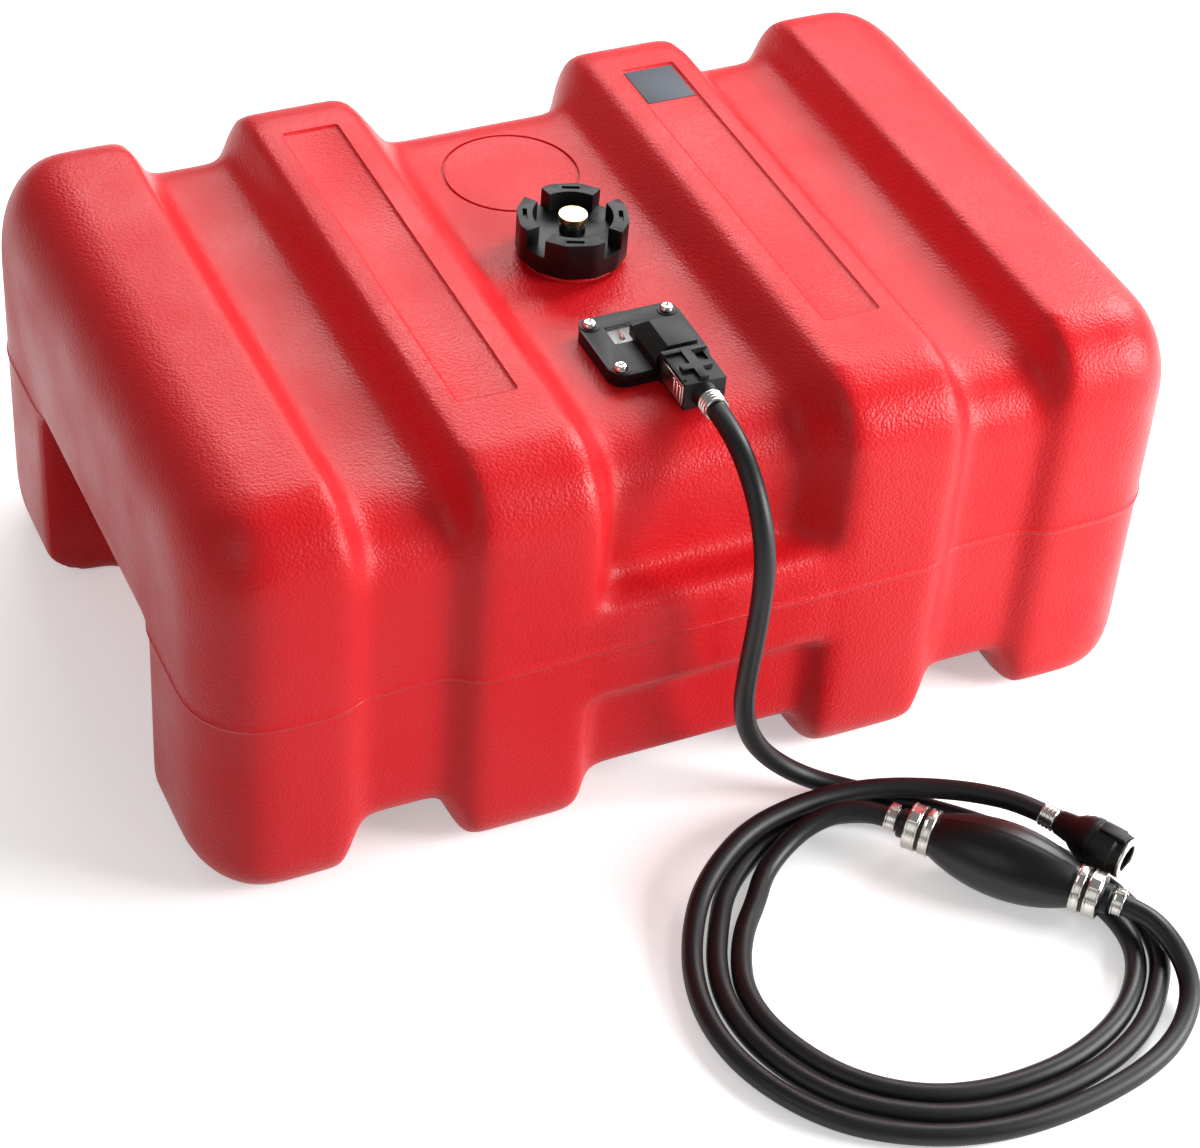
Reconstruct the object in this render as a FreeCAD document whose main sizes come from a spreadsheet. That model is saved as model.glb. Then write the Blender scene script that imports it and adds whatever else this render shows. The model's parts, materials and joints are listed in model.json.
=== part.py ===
import FreeCAD, Part
import math
import os
import re

# Portable fuel tank for an outboard engine, with its filler cap, outlet head,
# fuel gauge and the rubber fuel line with its primer bulb.
# Millimetres. Origin at the bottom centre of the tank, +X along its length,
# +Y towards the back (the filler is near the middle, the outlet in front of it), +Z up.

doc = FreeCAD.newDocument("OutboardFuelTank")
sheet = doc.addObject("Spreadsheet::Sheet", "Sizes")

SIZES = [
    # tank moulding
    ("tank_length", 620.0), ("tank_depth", 427.2), ("tank_height", 273.4), ("wall", 4.6),
    ("parting_height", 137.5), ("plan_corner", 50.0), ("end_roll", 46.0), ("rib_roll", 38.0),
    ("foot_roll", 25.0), ("end_rib_set_back", 3.6),
    ("valley_drop", 24.8), ("valley_depth", 11.6), ("valley_lift", 30.0), ("valley_roll", 32.0),
    ("centre_depth", 27.6), ("centre_roll", 30.0),
    ("centre_half", 60.0), ("rib_inner", 80.0), ("rib_outer", 148.0),
    ("valley_inner", 162.0), ("valley_outer", 212.0), ("end_rib_inner", 226.0),
    ("rib_round", 9.0), ("centre_round", 12.0), ("valley_round", 8.0), ("end_round", 6.0),
    ("ledge_top", 182.0), ("ledge_fold", 169.0), ("belt_bottom", 97.0), ("belt_half", 92.0),
    ("grip_depth", 58.0), ("grip_half", 104.0), ("grip_round", 22.0), ("leg_round", 7.0),
    ("panel_inner", 96.0), ("panel_outer", 135.0), ("panel_front", 132.0), ("panel_back", 157.0),
    ("panel_sink", 1.2), ("ring_place", 105.0), ("ring_outer", 43.5), ("ring_inner", 36.7),
    ("ring_sink", 2.2),
    # filler neck and cap
    ("neck_place", 12.0), ("neck_outer", 27.0), ("neck_bore", 21.0), ("neck_height", 12.4),
    ("cap_radius", 34.5), ("cap_height", 24.0), ("cap_lift_off", 4.4), ("cap_bore", 27.6),
    ("cap_bore_depth", 9.5), ("cap_floor", 12.0), ("cap_well", 24.5), ("cap_gap_angle", 26.0),
    ("gasket_thick", 1.4), ("vent_post", 8.0), ("vent_post_height", 5.4), ("vent_bore", 6.8),
    ("button_radius", 8.8), ("button_thick", 4.2), ("button_travel", 3.0), ("stem_radius", 3.0),
    ("running_gap", 0.05), ("valve_radius", 6.5), ("valve_thick", 1.8),
    # outlet head, gauge and what hangs inside
    ("outlet_place", 92.5), ("plate_width", 64.0), ("plate_depth", 58.0), ("plate_thick", 7.0),
    ("plate_corner", 10.0), ("seal_thick", 2.0), ("screw_x", 25.0), ("screw_y", 22.0),
    ("screw_head", 4.6), ("screw_shank", 2.2), ("screw_length", 18.0), ("boss_radius", 6.5),
    ("hood_offset", 6.4), ("hood_width", 27.0), ("hood_depth", 34.0), ("hood_height", 14.5),
    ("hood_chamfer", 8.0), ("pick_hole", 17.0), ("fuel_lift", 13.4), ("line_offset", 8.0),
    ("nipple_radius", 4.0), ("nipple_bore", 2.4), ("nipple_reach", 16.0),
    ("gauge_x", 9.5), ("gauge_y", 9.0), ("gauge_size", 17.0), ("gauge_sink", 4.6),
    ("lens_thick", 1.4), ("dial_thick", 0.8), ("tube_radius", 4.0), ("tube_bore", 2.6),
    ("strainer_radius", 9.0), ("strainer_height", 14.0), ("floor_gap", 4.0),
    ("float_pivot_height", 140.0), ("float_arm_length", 100.0), ("float_tilt", 50.0),
    ("float_radius", 14.0), ("float_length", 46.0), ("arm_wire", 1.5), ("pivot_radius", 2.0),
    # fuel line
    ("hose_diameter", 12.6), ("hose_bore", 8.0),
    ("connector_width", 26.0), ("connector_length", 32.0), ("connector_height", 18.0),
    ("connector_start", 125.0), ("ferrule_length", 10.0), ("ferrule_radius", 7.6),
    ("latch_thick", 1.6), ("latch_length", 29.0), ("latch_height", 14.0),
    ("bulb_radius", 23.0), ("bulb_half", 44.0), ("bulb_height", 24.6), ("bulb_wall", 3.4),
    ("bulb_x", 133.0), ("bulb_y", -352.0), ("bulb_turn", -49.7), ("neck_collar", 13.2),
    ("band_width", 8.0), ("band_radius", 14.2), ("line_end", 66.0), ("clamp_radius", 7.9),
    ("engine_x", 181.0), ("engine_y", -346.0), ("engine_height", 29.0), ("engine_turn", -61.5),
    ("engine_length", 38.0), ("engine_radius", 14.5), ("engine_socket", 8.0),
    ("engine_socket_depth", 16.0),
]
for row, (alias, value) in enumerate(SIZES, start=1):
    sheet.set("A%d" % row, alias)
    sheet.set("B%d" % row, repr(value))
    sheet.setAlias("B%d" % row, alias)
# The fuel line's axis stands over the floor of the middle valley
sheet.set("A%d" % (len(SIZES) + 1), "fuel_axis")
sheet.set("B%d" % (len(SIZES) + 1), "=tank_height - valley_drop + fuel_lift")
sheet.setAlias("B%d" % (len(SIZES) + 1), "fuel_axis")
doc.recompute()
ALIASES = {alias for alias, value in SIZES} | {"fuel_axis"}
NODES = []


def size(alias):
    """Value of one cell of the sheet."""
    return float(getattr(sheet, alias))


def expression(text):
    """Formula with each cell's alias written out for the expression engine."""
    return re.sub(r"[a-z_]+", lambda word: "Sizes." + word.group() if word.group() in ALIASES
                  else word.group(), text)


def bind(item, **formulas):
    """Ties properties of an object to formulas over the sheet."""
    for name, formula in formulas.items():
        item.setExpression(name.replace("__", "."), expression(str(formula)))
    return item


def place(item, x="0", y="0", z="0"):
    """Ties an object's position to formulas."""
    return bind(item, Placement__Base__x=x, Placement__Base__y=y, Placement__Base__z=z)


def block(name, width, depth, height, x, y, z):
    """Box whose low corner is at x, y, z."""
    item = doc.addObject("Part::Box", name)
    return place(bind(item, Length=width, Width=depth, Height=height), x, y, z)


def rod(name, radius, height, x="0", y="0", z="0", turn=None):
    """Cylinder from x, y, z along +Z, or along the axis that turn gives."""
    item = doc.addObject("Part::Cylinder", name)
    if turn:
        item.Placement.Rotation = turn
    return place(bind(item, Radius=radius, Height=height), x, y, z)


def cone(name, low, high, height, x="0", y="0", z="0", turn=None):
    """Cone frustum, set like a rod."""
    item = doc.addObject("Part::Cone", name)
    if turn:
        item.Placement.Rotation = turn
    return place(bind(item, Radius1=low, Radius2=high, Height=height), x, y, z)


def cut(name, base, *tools):
    """Base without its tools."""
    item = doc.addObject("Part::Cut", name)
    item.Base = base
    item.Tool = tools[0] if len(tools) == 1 else fuse(name + "Tools", *tools)
    return item


def fuse(name, *items):
    """One solid from several."""
    item = doc.addObject("Part::MultiFuse", name)
    item.Shapes = list(items)
    item.Refine = True
    return item


def rounded(name, base, radius, pick):
    """Fillet on the edges that pick chooses from the recomputed base."""
    doc.recompute()
    item = doc.addObject("Part::Fillet", name)
    item.Base = base
    amount = size(radius) if isinstance(radius, str) else radius
    item.Edges = [(index, amount, amount)
                  for index, edge in enumerate(base.Shape.Edges, start=1) if pick(edge)]
    return item


def solid(name, shape):
    """Feature that holds a shape worked out in code."""
    item = doc.addObject("Part::Feature", name)
    item.Shape = shape
    return item


def node(label, item):
    """Marks an object as a finished sub-part."""
    item.Label = label
    NODES.append(item)
    return item


def upright(edge):
    """True for a straight edge along Z."""
    box = edge.BoundBox
    return box.ZLength > 0.5 and box.XLength < 0.001 and box.YLength < 0.001


ALONG_FRONT = FreeCAD.Rotation(FreeCAD.Vector(1, 0, 0), 90)
ALONG_X = FreeCAD.Rotation(FreeCAD.Vector(0, 1, 0), 90)
Vec = FreeCAD.Vector


# Tank moulding

def chamfered_section(x, half, low, top, low_roll, top_roll):
    """Rectangle across the tank at one x, its corners cut off straight."""
    corners = [(-half, low + low_roll), (low_roll - half, low), (half - low_roll, low),
               (half, low + low_roll), (half, top - top_roll), (half - top_roll, top),
               (top_roll - half, top), (-half, top - top_roll)]
    return Part.makePolygon([Vec(x, y, z) for y, z in corners + corners[:1]])


def rounded_section(x, half, low, top, low_roll, top_roll):
    """Rounded rectangle across the tank at one x."""
    corners = [(-half, low, low_roll, 1, 1), (half, low, low_roll, -1, 1),
               (half, top, top_roll, -1, -1), (-half, top, top_roll, 1, -1)]
    diagonal = math.sqrt(0.5)
    edges = []
    ends = []
    for number, (y, z, roll, side, rise) in enumerate(corners):
        centre = Vec(x, y + side * roll, z + rise * roll)
        upright_end = Vec(x, y, z + rise * roll)
        level_end = Vec(x, y + side * roll, z)
        middle = centre + Vec(0, -side * roll * diagonal, -rise * roll * diagonal)
        first, last = (upright_end, level_end) if number % 2 == 0 else (level_end, upright_end)
        edges.append(Part.Arc(first, middle, last).toShape())
        ends.append((first, last))
    outline = []
    for number, edge in enumerate(edges):
        following = ends[(number + 1) % len(ends)][0]
        outline.append(edge)
        outline.append(Part.LineSegment(ends[number][1], following).toShape())
    return Part.Wire(outline)


def end_block(inset, side):
    """End of the tank beyond the last rib's inner face, rounded in plan and over its top."""
    reach = size("tank_length") / 2 - inset
    half = size("tank_depth") / 2 - size("end_rib_set_back") - inset
    top = size("tank_height") - inset
    inner = size("end_rib_inner") + shift(inset)
    start = inner - 2 * size("plan_corner")
    body = Part.makeBox(reach - start, 2 * half, top - inset, Vec(start, -half, inset))
    soften = Part.Shape.makeChamfer if inset else Part.Shape.makeFillet
    corner = [edge for edge in body.Edges if upright(edge) and edge.BoundBox.XMin > reach - 1]
    body = soften(body, size("plan_corner") - inset, corner)
    upper = [edge for edge in body.Edges if edge.BoundBox.ZMin > top - 0.01
             and edge.BoundBox.XMax > start + 0.01]
    body = soften(body, size("end_roll") - inset, upper)
    lower = [edge for edge in body.Edges if edge.BoundBox.ZMax < inset + 0.01
             and edge.BoundBox.XMax > start + 0.01]
    body = soften(body, size("foot_roll") - inset, lower)
    body = body.cut(Part.makeBox(inner - start + 1, 4 * half, 3 * top,
                                 Vec(start - 1, -2 * half, -top)))
    if side < 0:
        body = body.mirror(Vec(0, 0, 0), Vec(1, 0, 0))
    return body


def shift(inset):
    """How far a sloped rib wall moves along X when the wall's inside is drawn."""
    return 0.5 * inset


def belt(name_half, half_depth, low, top, inset, rolls):
    """Bar along X between the two middle ribs, with its long edges rounded."""
    width = size(name_half)
    depth = half_depth - inset
    points = [Vec(-width, -depth, low), Vec(-width, depth, low), Vec(-width, depth, top),
              Vec(-width, -depth, top)]
    bar = Part.Face(Part.makePolygon(points + points[:1])).extrude(Vec(2 * width, 0, 0))
    soften = Part.Shape.makeChamfer if inset else Part.Shape.makeFillet
    for z, roll in rolls:
        edges = [edge for edge in bar.Edges if edge.BoundBox.XLength > width
                 and abs(edge.BoundBox.ZMin - z) < 0.01]
        bar = soften(bar, roll, edges)
    return bar


def moulding(inset, creases):
    """The tank's outer form, or with an inset the form of its cavity."""
    half = size("tank_depth") / 2 - inset
    top = size("tank_height") - inset
    valley = (half - size("valley_depth"), size("valley_lift") + inset, top - size("valley_drop"),
              size("foot_roll") - inset, size("valley_roll") - inset)
    centre = (half - size("centre_depth"), size("valley_lift") + inset,
              top - size("valley_drop"), size("foot_roll") - inset, size("centre_roll") - inset)
    rib = (half, inset, top, size("foot_roll") - inset, size("rib_roll") - inset)
    end = (half - size("end_rib_set_back"), inset, top, size("foot_roll") - inset,
           size("end_roll") - inset)
    move = shift(inset)
    stations = [(size("centre_half") + move, centre), (size("rib_inner") + move, rib),
                (size("rib_outer") - move, rib), (size("valley_inner") - move, valley),
                (size("valley_outer") + move, valley), (size("end_rib_inner") + move, end)]
    section = chamfered_section if inset else rounded_section
    sections = [section(-x, *form) for x, form in reversed(stations)]
    sections += [section(x, *form) for x, form in stations]
    body = Part.makeLoft(sections, True, True)
    body = body.fuse([end_block(inset, 1), end_block(inset, -1)]).removeSplitter()
    if creases:
        rounds = ["centre_round", "centre_round", "rib_round", "valley_round", "valley_round",
                  "end_round"]
        for (x, form), name in zip(stations, rounds):
            for side in (1, -1):
                loop = [edge for edge in body.Edges if edge.BoundBox.XLength < 0.001
                        and abs(edge.BoundBox.XMin - side * x) < 0.01]
                body = body.makeFillet(size(name), loop)
    fold = size("ledge_fold") - inset
    upper = belt("belt_half", size("tank_depth") / 2, size("belt_bottom") + inset, fold, inset,
                 [(fold, 11.0 - 0.5 * inset)])
    lower = belt("rib_inner", size("tank_depth") / 2 - size("valley_depth"),
                 size("valley_lift") + inset, size("ledge_top") - inset - 8.0, inset,
                 [(size("valley_lift") + inset, size("foot_roll") - inset)])
    return body.fuse([upper, lower])


def grip(inset, side):
    """Hand grip recess under one end, open below."""
    reach = size("tank_length") / 2
    deep = size("grip_depth") + inset
    half = size("grip_half") + inset
    body = Part.makeBox(deep + 20, 2 * half, size("parting_height") + 20 + inset,
                        Vec(reach - deep, -half, -20))
    inner = [edge for edge in body.Edges if upright(edge) and edge.BoundBox.XMax < reach]
    soften = Part.Shape.makeChamfer if inset else Part.Shape.makeFillet
    body = soften(body, 0.5 * size("grip_round") if inset else size("grip_round"), inner)
    if side < 0:
        body = body.mirror(Vec(0, 0, 0), Vec(1, 0, 0))
    return body


def panel(side):
    """Shallow label field on one of the middle ribs."""
    sink = size("panel_sink")
    width = size("panel_outer") - size("panel_inner")
    low = size("panel_inner") if side > 0 else -size("panel_outer")
    body = Part.makeBox(width, size("panel_front") + size("panel_back"), sink + 5,
                        Vec(low, -size("panel_front"), size("tank_height") - sink))
    return body.makeFillet(3.0, [edge for edge in body.Edges if upright(edge)])


def tank_shape():
    """The blow moulding: form, cavity, recesses, neck and bosses."""
    body = moulding(0.0, True)
    for side in (1, -1):
        body = body.cut(grip(0.0, side))
    edges = [edge for edge in body.Edges if upright(edge)
             and abs(abs(edge.BoundBox.XMin) - size("tank_length") / 2) < 0.01
             and abs(abs(edge.BoundBox.YMin) - size("grip_half")) < 0.01]
    body = body.makeFillet(size("leg_round"), edges)
    cavity = moulding(size("wall"), False)
    for side in (1, -1):
        cavity = cavity.cut(grip(size("wall"), side))
    print("tank_shell: holds %.1f litres" % (cavity.Volume / 1e6))
    body = body.cut(cavity)
    floor = size("tank_height") - size("valley_drop")
    ring_centre = Vec(0, size("ring_place"), floor - size("ring_sink"))
    groove = Part.makeCylinder(size("ring_outer"), 10, ring_centre)
    groove = groove.cut(Part.makeCylinder(size("ring_inner"), 10, ring_centre))
    neck_base = Vec(0, size("neck_place"), floor - size("wall"))
    neck = Part.makeCylinder(size("neck_outer"), size("wall") + size("neck_height"), neck_base)
    foot = Part.makeCone(size("neck_outer") + 3, size("neck_outer"), 3,
                         Vec(0, size("neck_place"), floor))
    bosses = [neck, foot]
    holes = [groove, Part.makeCylinder(size("neck_bore"), 60, Vec(0, size("neck_place"), floor - 30)),
             Part.makeCylinder(size("pick_hole"), 40, Vec(0, -size("outlet_place"), floor - 30))]
    depth = size("screw_length") - size("plate_thick") - size("seal_thick")
    for x in (-size("screw_x"), size("screw_x")):
        for y in (-size("screw_y"), size("screw_y")):
            spot = Vec(x, y - size("outlet_place"), floor - depth - 3)
            bosses.append(Part.makeCylinder(size("boss_radius"), depth + 3, spot))
            holes.append(Part.makeCylinder(size("screw_shank"), depth + 10,
                                           spot + Vec(0, 0, 3)))
    body = body.fuse(bosses)
    return body.cut(holes + [panel(1), panel(-1)])


node("tank_shell", solid("TankShell", tank_shape()))

# Filler cap: twelve flats, four raised grips round a sunk floor, and a vent in its middle

FLOOR = "(tank_height - valley_drop)"
CAP_LOW = "(tank_height - valley_drop + cap_lift_off)"
prism = doc.addObject("Part::Prism", "CapPrism")
prism.Polygon = 12
place(bind(prism, Circumradius="cap_radius", Height="cap_height"), "0", "neck_place", CAP_LOW)
cap_bore = rod("CapBore", "cap_bore", "cap_bore_depth + 1", "0", "neck_place", CAP_LOW + " - 1")
cap_well = rod("CapWell", "cap_well", "cap_height", "0", "neck_place", CAP_LOW + " + cap_floor")
gaps = []
for number in range(4):
    gap = doc.addObject("Part::Cylinder", "CapGap%d" % number)
    bind(gap, Radius="cap_radius * 1.2", Height="cap_height", Angle="cap_gap_angle")
    bind(gap, Placement__Rotation__Angle="%d - cap_gap_angle / 2" % (24 + 90 * number))
    gap.Placement.Rotation.Axis = Vec(0, 0, 1)
    gaps.append(place(gap, "0", "neck_place", CAP_LOW + " + cap_floor"))
slots = []
for number in range(4):
    slot = doc.addObject("Part::Box", "CapSlot%d" % number)
    bind(slot, Length="2.4", Width="9", Height="6")
    angle = math.radians(69 + 90 * number)
    slot.Placement.Rotation = FreeCAD.Rotation(Vec(0, 0, 1), math.degrees(angle))
    radius = size("cap_radius") - 6.6
    place(slot, "%.6f * (cap_radius - 6.6) + %.6f" % (math.cos(angle), 4.5 * math.sin(angle)),
          "neck_place + %.6f * (cap_radius - 6.6) - %.6f" % (math.sin(angle), 4.5 * math.cos(angle)),
          CAP_LOW + " + cap_height - 2.5")
    slots.append(slot)
stem_hole = rod("CapStemHole", "stem_radius + running_gap", "40", "0", "neck_place", CAP_LOW)
shell = cut("CapShell", prism, cap_bore, cap_well, *gaps, *slots)
post = cut("CapPost", rod("CapPostRod", "vent_post", "vent_post_height + 1", "0", "neck_place",
                          CAP_LOW + " + cap_floor - 1"),
           rod("CapPostBore", "vent_bore", "vent_post_height + 1", "0", "neck_place",
               CAP_LOW + " + cap_floor + 0.6"))
node("filler_cap", cut("FillerCap", fuse("CapBody", shell, post), stem_hole))
GASKET = CAP_LOW + " + cap_bore_depth - gasket_thick"
node("cap_gasket", cut("CapGasket",
                       rod("GasketDisc", "cap_bore - 0.2", "gasket_thick - 0.05", "0",
                           "neck_place", GASKET),
                       rod("GasketHole", "neck_bore", "4", "0", "neck_place", GASKET + " - 1")))
BUTTON = CAP_LOW + " + cap_floor + vent_post_height + button_travel + 0.1"
stem_length = "(cap_floor + vent_post_height + button_travel + 0.1 - cap_bore_depth + valve_thick + 0.5)"
button_disc = rod("ButtonDisc", "button_radius", "button_thick", "0", "neck_place", BUTTON)
button_stem = rod("ButtonStem", "stem_radius", stem_length, "0", "neck_place",
                  BUTTON + " - " + stem_length)
node("vent_button", fuse("VentButton", button_disc, button_stem))
VALVE = CAP_LOW + " + cap_bore_depth - valve_thick - 0.1"
node("vent_valve", cut("VentValve", rod("ValveDisc", "valve_radius", "valve_thick", "0",
                                        "neck_place", VALVE),
                       rod("ValveHole", "stem_radius", "6", "0", "neck_place", VALVE + " - 2")))
SPRING = CAP_LOW + " + cap_floor + 0.6"
spring_height = "(vent_post_height + button_travel - 0.5)"
node("vent_spring", cut("VentSpring", rod("SpringOuter", "vent_bore - 0.6", spring_height, "0",
                                          "neck_place", SPRING),
                        rod("SpringInner", "vent_bore - 2.0", "20", "0", "neck_place",
                            SPRING + " - 1")))

# Outlet head: gasket, plate with hood, screws and the nipple that the line plugs on

PLATE = "(tank_height - valley_drop + seal_thick)"


def plate(name, thick, z):
    """Rounded rectangular plate of the outlet's outline."""
    base = block(name + "Block", "plate_width", "plate_depth", thick, "-plate_width / 2",
                 "-outlet_place - plate_depth / 2", z)
    return rounded(name + "Round", base, "plate_corner", upright)


def screw_spots():
    """Formulas for the four screws' places."""
    return [(sx + "screw_x", sy + "screw_y - outlet_place") for sx in ("-", "") for sy in ("-", "")]


def drilled(name, base, radius, z, height):
    """Base with the four screw holes and what else is passed as a hole."""
    tools = [rod(name + "Hole%d" % number, radius, height, x, y, z)
             for number, (x, y) in enumerate(screw_spots())]
    return tools


seal_plate = plate("OutletSeal", "seal_thick", FLOOR)
seal_holes = drilled("OutletSeal", seal_plate, "screw_shank", FLOOR + " - 5", "20")
seal_holes.append(rod("SealBore", "pick_hole", "20", "0", "-outlet_place", FLOOR + " - 5"))
node("outlet_gasket", cut("OutletGasket", seal_plate, *seal_holes))

head_plate = plate("OutletPlate", "plate_thick", PLATE)
HOOD_X = "hood_offset - hood_width / 2"
HOOD_Y = "-outlet_place - plate_depth / 2 + 0.5"
hood_block = block("HoodBlock", "hood_width", "hood_depth", "plate_thick + hood_height", HOOD_X,
                   HOOD_Y, PLATE)
doc.recompute()
hood_top = size("tank_height") - size("valley_drop") + size("seal_thick") + size("plate_thick")
hood_top += size("hood_height")


def hood_edge(edge):
    """The hood's left and back top edges."""
    box = edge.BoundBox
    left = box.XMax < size("hood_offset") - size("hood_width") / 2 + 0.01
    back = box.YMin > -size("outlet_place") - size("plate_depth") / 2 + size("hood_depth") + 0.4
    return box.ZMin > hood_top - 0.01 and (left or back)


hood_edges = [(index, size("hood_chamfer"), size("hood_chamfer"))
              for index, edge in enumerate(hood_block.Shape.Edges, start=1) if hood_edge(edge)]
hood = doc.addObject("Part::Chamfer", "Hood")
hood.Base = hood_block
hood.Edges = hood_edges
head_body = fuse("HeadBody", head_plate, hood)
GAUGE_TOP = PLATE + " + plate_thick"
gauge_pocket = block("GaugePocket", "gauge_size", "gauge_size", "gauge_sink + 1",
                     "-gauge_x - gauge_size / 2", "gauge_y - outlet_place - gauge_size / 2",
                     GAUGE_TOP + " - gauge_sink")
head_holes = drilled("OutletHead", head_body, "screw_shank", PLATE + " - 5", "20")
head_holes.append(rod("FuelPassage", "nipple_radius", "hood_depth - 10", "line_offset",
                      "-outlet_place - plate_depth / 2 - 1 + hood_depth - 10", "fuel_axis",
                      ALONG_FRONT))
head_holes.append(rod("FuelDrop", "tube_radius", "fuel_axis - tank_height + valley_drop + 6",
                      "line_offset", "-outlet_place", FLOOR + " - 5"))
head_holes.append(rod("GaugeShaftHole", "pivot_radius - 0.5", "30", "-gauge_x",
                      "gauge_y - outlet_place", PLATE + " - 5"))
node("outlet_head", cut("OutletHead", head_body, gauge_pocket, *head_holes))

SCREW_TOP = PLATE + " + plate_thick"
screws = []
for number, (x, y) in enumerate(screw_spots()):
    head = rod("ScrewHead%d" % number, "screw_head", "1.2", x, y, SCREW_TOP)
    crown = cone("ScrewCrown%d" % number, "screw_head", "screw_head * 0.55", "1.8", x, y,
                 SCREW_TOP + " + 1.2")
    shank = rod("ScrewShank%d" % number, "screw_shank", "screw_length", x, y,
                SCREW_TOP + " - screw_length")
    drive = [block("ScrewDriveA%d" % number, "5", "1.1", "3", x + " - 2.5", y + " - 0.55",
                   SCREW_TOP + " + 1.6"),
             block("ScrewDriveB%d" % number, "1.1", "5", "3", x + " - 0.55", y + " - 2.5",
                   SCREW_TOP + " + 1.6")]
    screws.append(cut("Screw%d" % number, fuse("ScrewBlank%d" % number, head, crown, shank), *drive))
screw_set = doc.addObject("Part::Compound", "OutletScrews")
screw_set.Links = screws
node("outlet_screws", screw_set)

NIPPLE = "-outlet_place - plate_depth / 2 + 12"
nipple_length = "(12 + nipple_reach)"
node("outlet_nipple", cut("OutletNipple",
                          rod("NippleRod", "nipple_radius", nipple_length, "line_offset", NIPPLE,
                              "fuel_axis", ALONG_FRONT),
                          rod("NippleBore", "nipple_bore", "60", "line_offset",
                              "-outlet_place + 10", "fuel_axis", ALONG_FRONT)))

# Fuel gauge: dial, pointer and lens in the head's pocket

node("gauge_dial", cut("GaugeDial",
                       block("DialBlock", "gauge_size", "gauge_size", "dial_thick",
                             "-gauge_x - gauge_size / 2", "gauge_y - outlet_place - gauge_size / 2",
                             GAUGE_TOP + " - gauge_sink"),
                       rod("DialHole", "pivot_radius", "10", "-gauge_x", "gauge_y - outlet_place",
                           GAUGE_TOP + " - gauge_sink - 2")))
node("gauge_lens", block("GaugeLens", "gauge_size", "gauge_size", "lens_thick",
                         "-gauge_x - gauge_size / 2", "gauge_y - outlet_place - gauge_size / 2",
                         GAUGE_TOP + " - lens_thick"))
pointer_hub = rod("PointerHub", "1.4", "1.6", "-gauge_x", "gauge_y - outlet_place",
                  GAUGE_TOP + " - gauge_sink + dial_thick + 0.2")
pointer_arm = block("PointerArm", "1.2", "gauge_size / 2 - 1.8", "0.6", "-gauge_x - 0.6",
                    "gauge_y - outlet_place", GAUGE_TOP + " - gauge_sink + dial_thick + 0.9")
pointer_shaft = rod("PointerShaft", "1.2", "gauge_sink + 3", "-gauge_x", "gauge_y - outlet_place",
                    GAUGE_TOP + " - gauge_sink * 2 - 1.4")
node("gauge_pointer", fuse("GaugePointer", pointer_hub, pointer_arm, pointer_shaft))

# Pick-up tube and strainer

tube_foot = "(valley_lift + wall + floor_gap)"
tube_top = "(fuel_axis - nipple_radius)"
node("pickup_tube", cut("PickupTube",
                        rod("TubeRod", "tube_radius", tube_top + " - " + tube_foot, "line_offset",
                            "-outlet_place", tube_foot),
                        rod("TubeBore", "tube_bore", "400", "line_offset", "-outlet_place",
                            tube_foot + " - 20")))
strainer_outer = rod("StrainerOuter", "strainer_radius", "strainer_height", "line_offset",
                     "-outlet_place", tube_foot + " - 2")
strainer_inner = rod("StrainerInner", "strainer_radius - 1.5", "strainer_height - 3",
                     "line_offset", "-outlet_place", tube_foot)
strainer_hole = rod("StrainerHole", "tube_radius", "strainer_height + 10", "line_offset",
                    "-outlet_place", tube_foot)
node("pickup_strainer", cut("PickupStrainer", strainer_outer, strainer_inner, strainer_hole))

# Float: bracket under the head, pivot pin, arm and float, resting at its low stop

BRACKET_Y = "(-outlet_place - 3.5)"
bracket_stem = block("BracketStem", "3", "7",
                     "tank_height - valley_drop + seal_thick - float_pivot_height + 5",
                     "-gauge_x - 6", BRACKET_Y, "float_pivot_height - 5")
bracket_hole = rod("BracketHole", "pivot_radius + running_gap", "40", "-gauge_x - 20",
                   BRACKET_Y + " + 3.5", "float_pivot_height", ALONG_X)
node("float_bracket", cut("FloatBracket", bracket_stem, bracket_hole))
node("float_pivot", rod("FloatPivot", "pivot_radius", "12", "-gauge_x - 7", BRACKET_Y + " + 3.5",
                        "float_pivot_height", ALONG_X))


def float_frame():
    """Placement of the float arm: its pivot, turned down by the rest tilt."""
    pivot = Vec(-size("gauge_x"), -size("outlet_place"), size("float_pivot_height"))
    return FreeCAD.Placement(pivot, FreeCAD.Rotation(Vec(1, 0, 0), -size("float_tilt")))


arm_eye = rod("ArmEye", "pivot_radius + 2.5", "3.2", "-1.6", "0", "0", ALONG_X)
arm_rod = rod("ArmRod", "arm_wire", "float_arm_length - 3", "0", "float_arm_length", "0",
              ALONG_FRONT)
arm_blank = fuse("ArmBlank", arm_eye, arm_rod)
arm = cut("FloatArm", arm_blank, rod("ArmHole", "pivot_radius + running_gap", "20", "-10", "0", "0", ALONG_X))
arm.Placement = float_frame()
node("float_arm", arm)
float_body = rod("FloatRod", "float_radius", "float_length", "-float_length / 2",
                 "float_arm_length + 4", "0", ALONG_X)
float_piece = cut("Float", float_body, rod("FloatHole", "arm_wire", "30", "0", "float_arm_length",
                                           "0", ALONG_FRONT))
float_piece.Placement = float_frame()
node("float", float_piece)

# Tank connector on the line's end, with its latch

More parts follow.
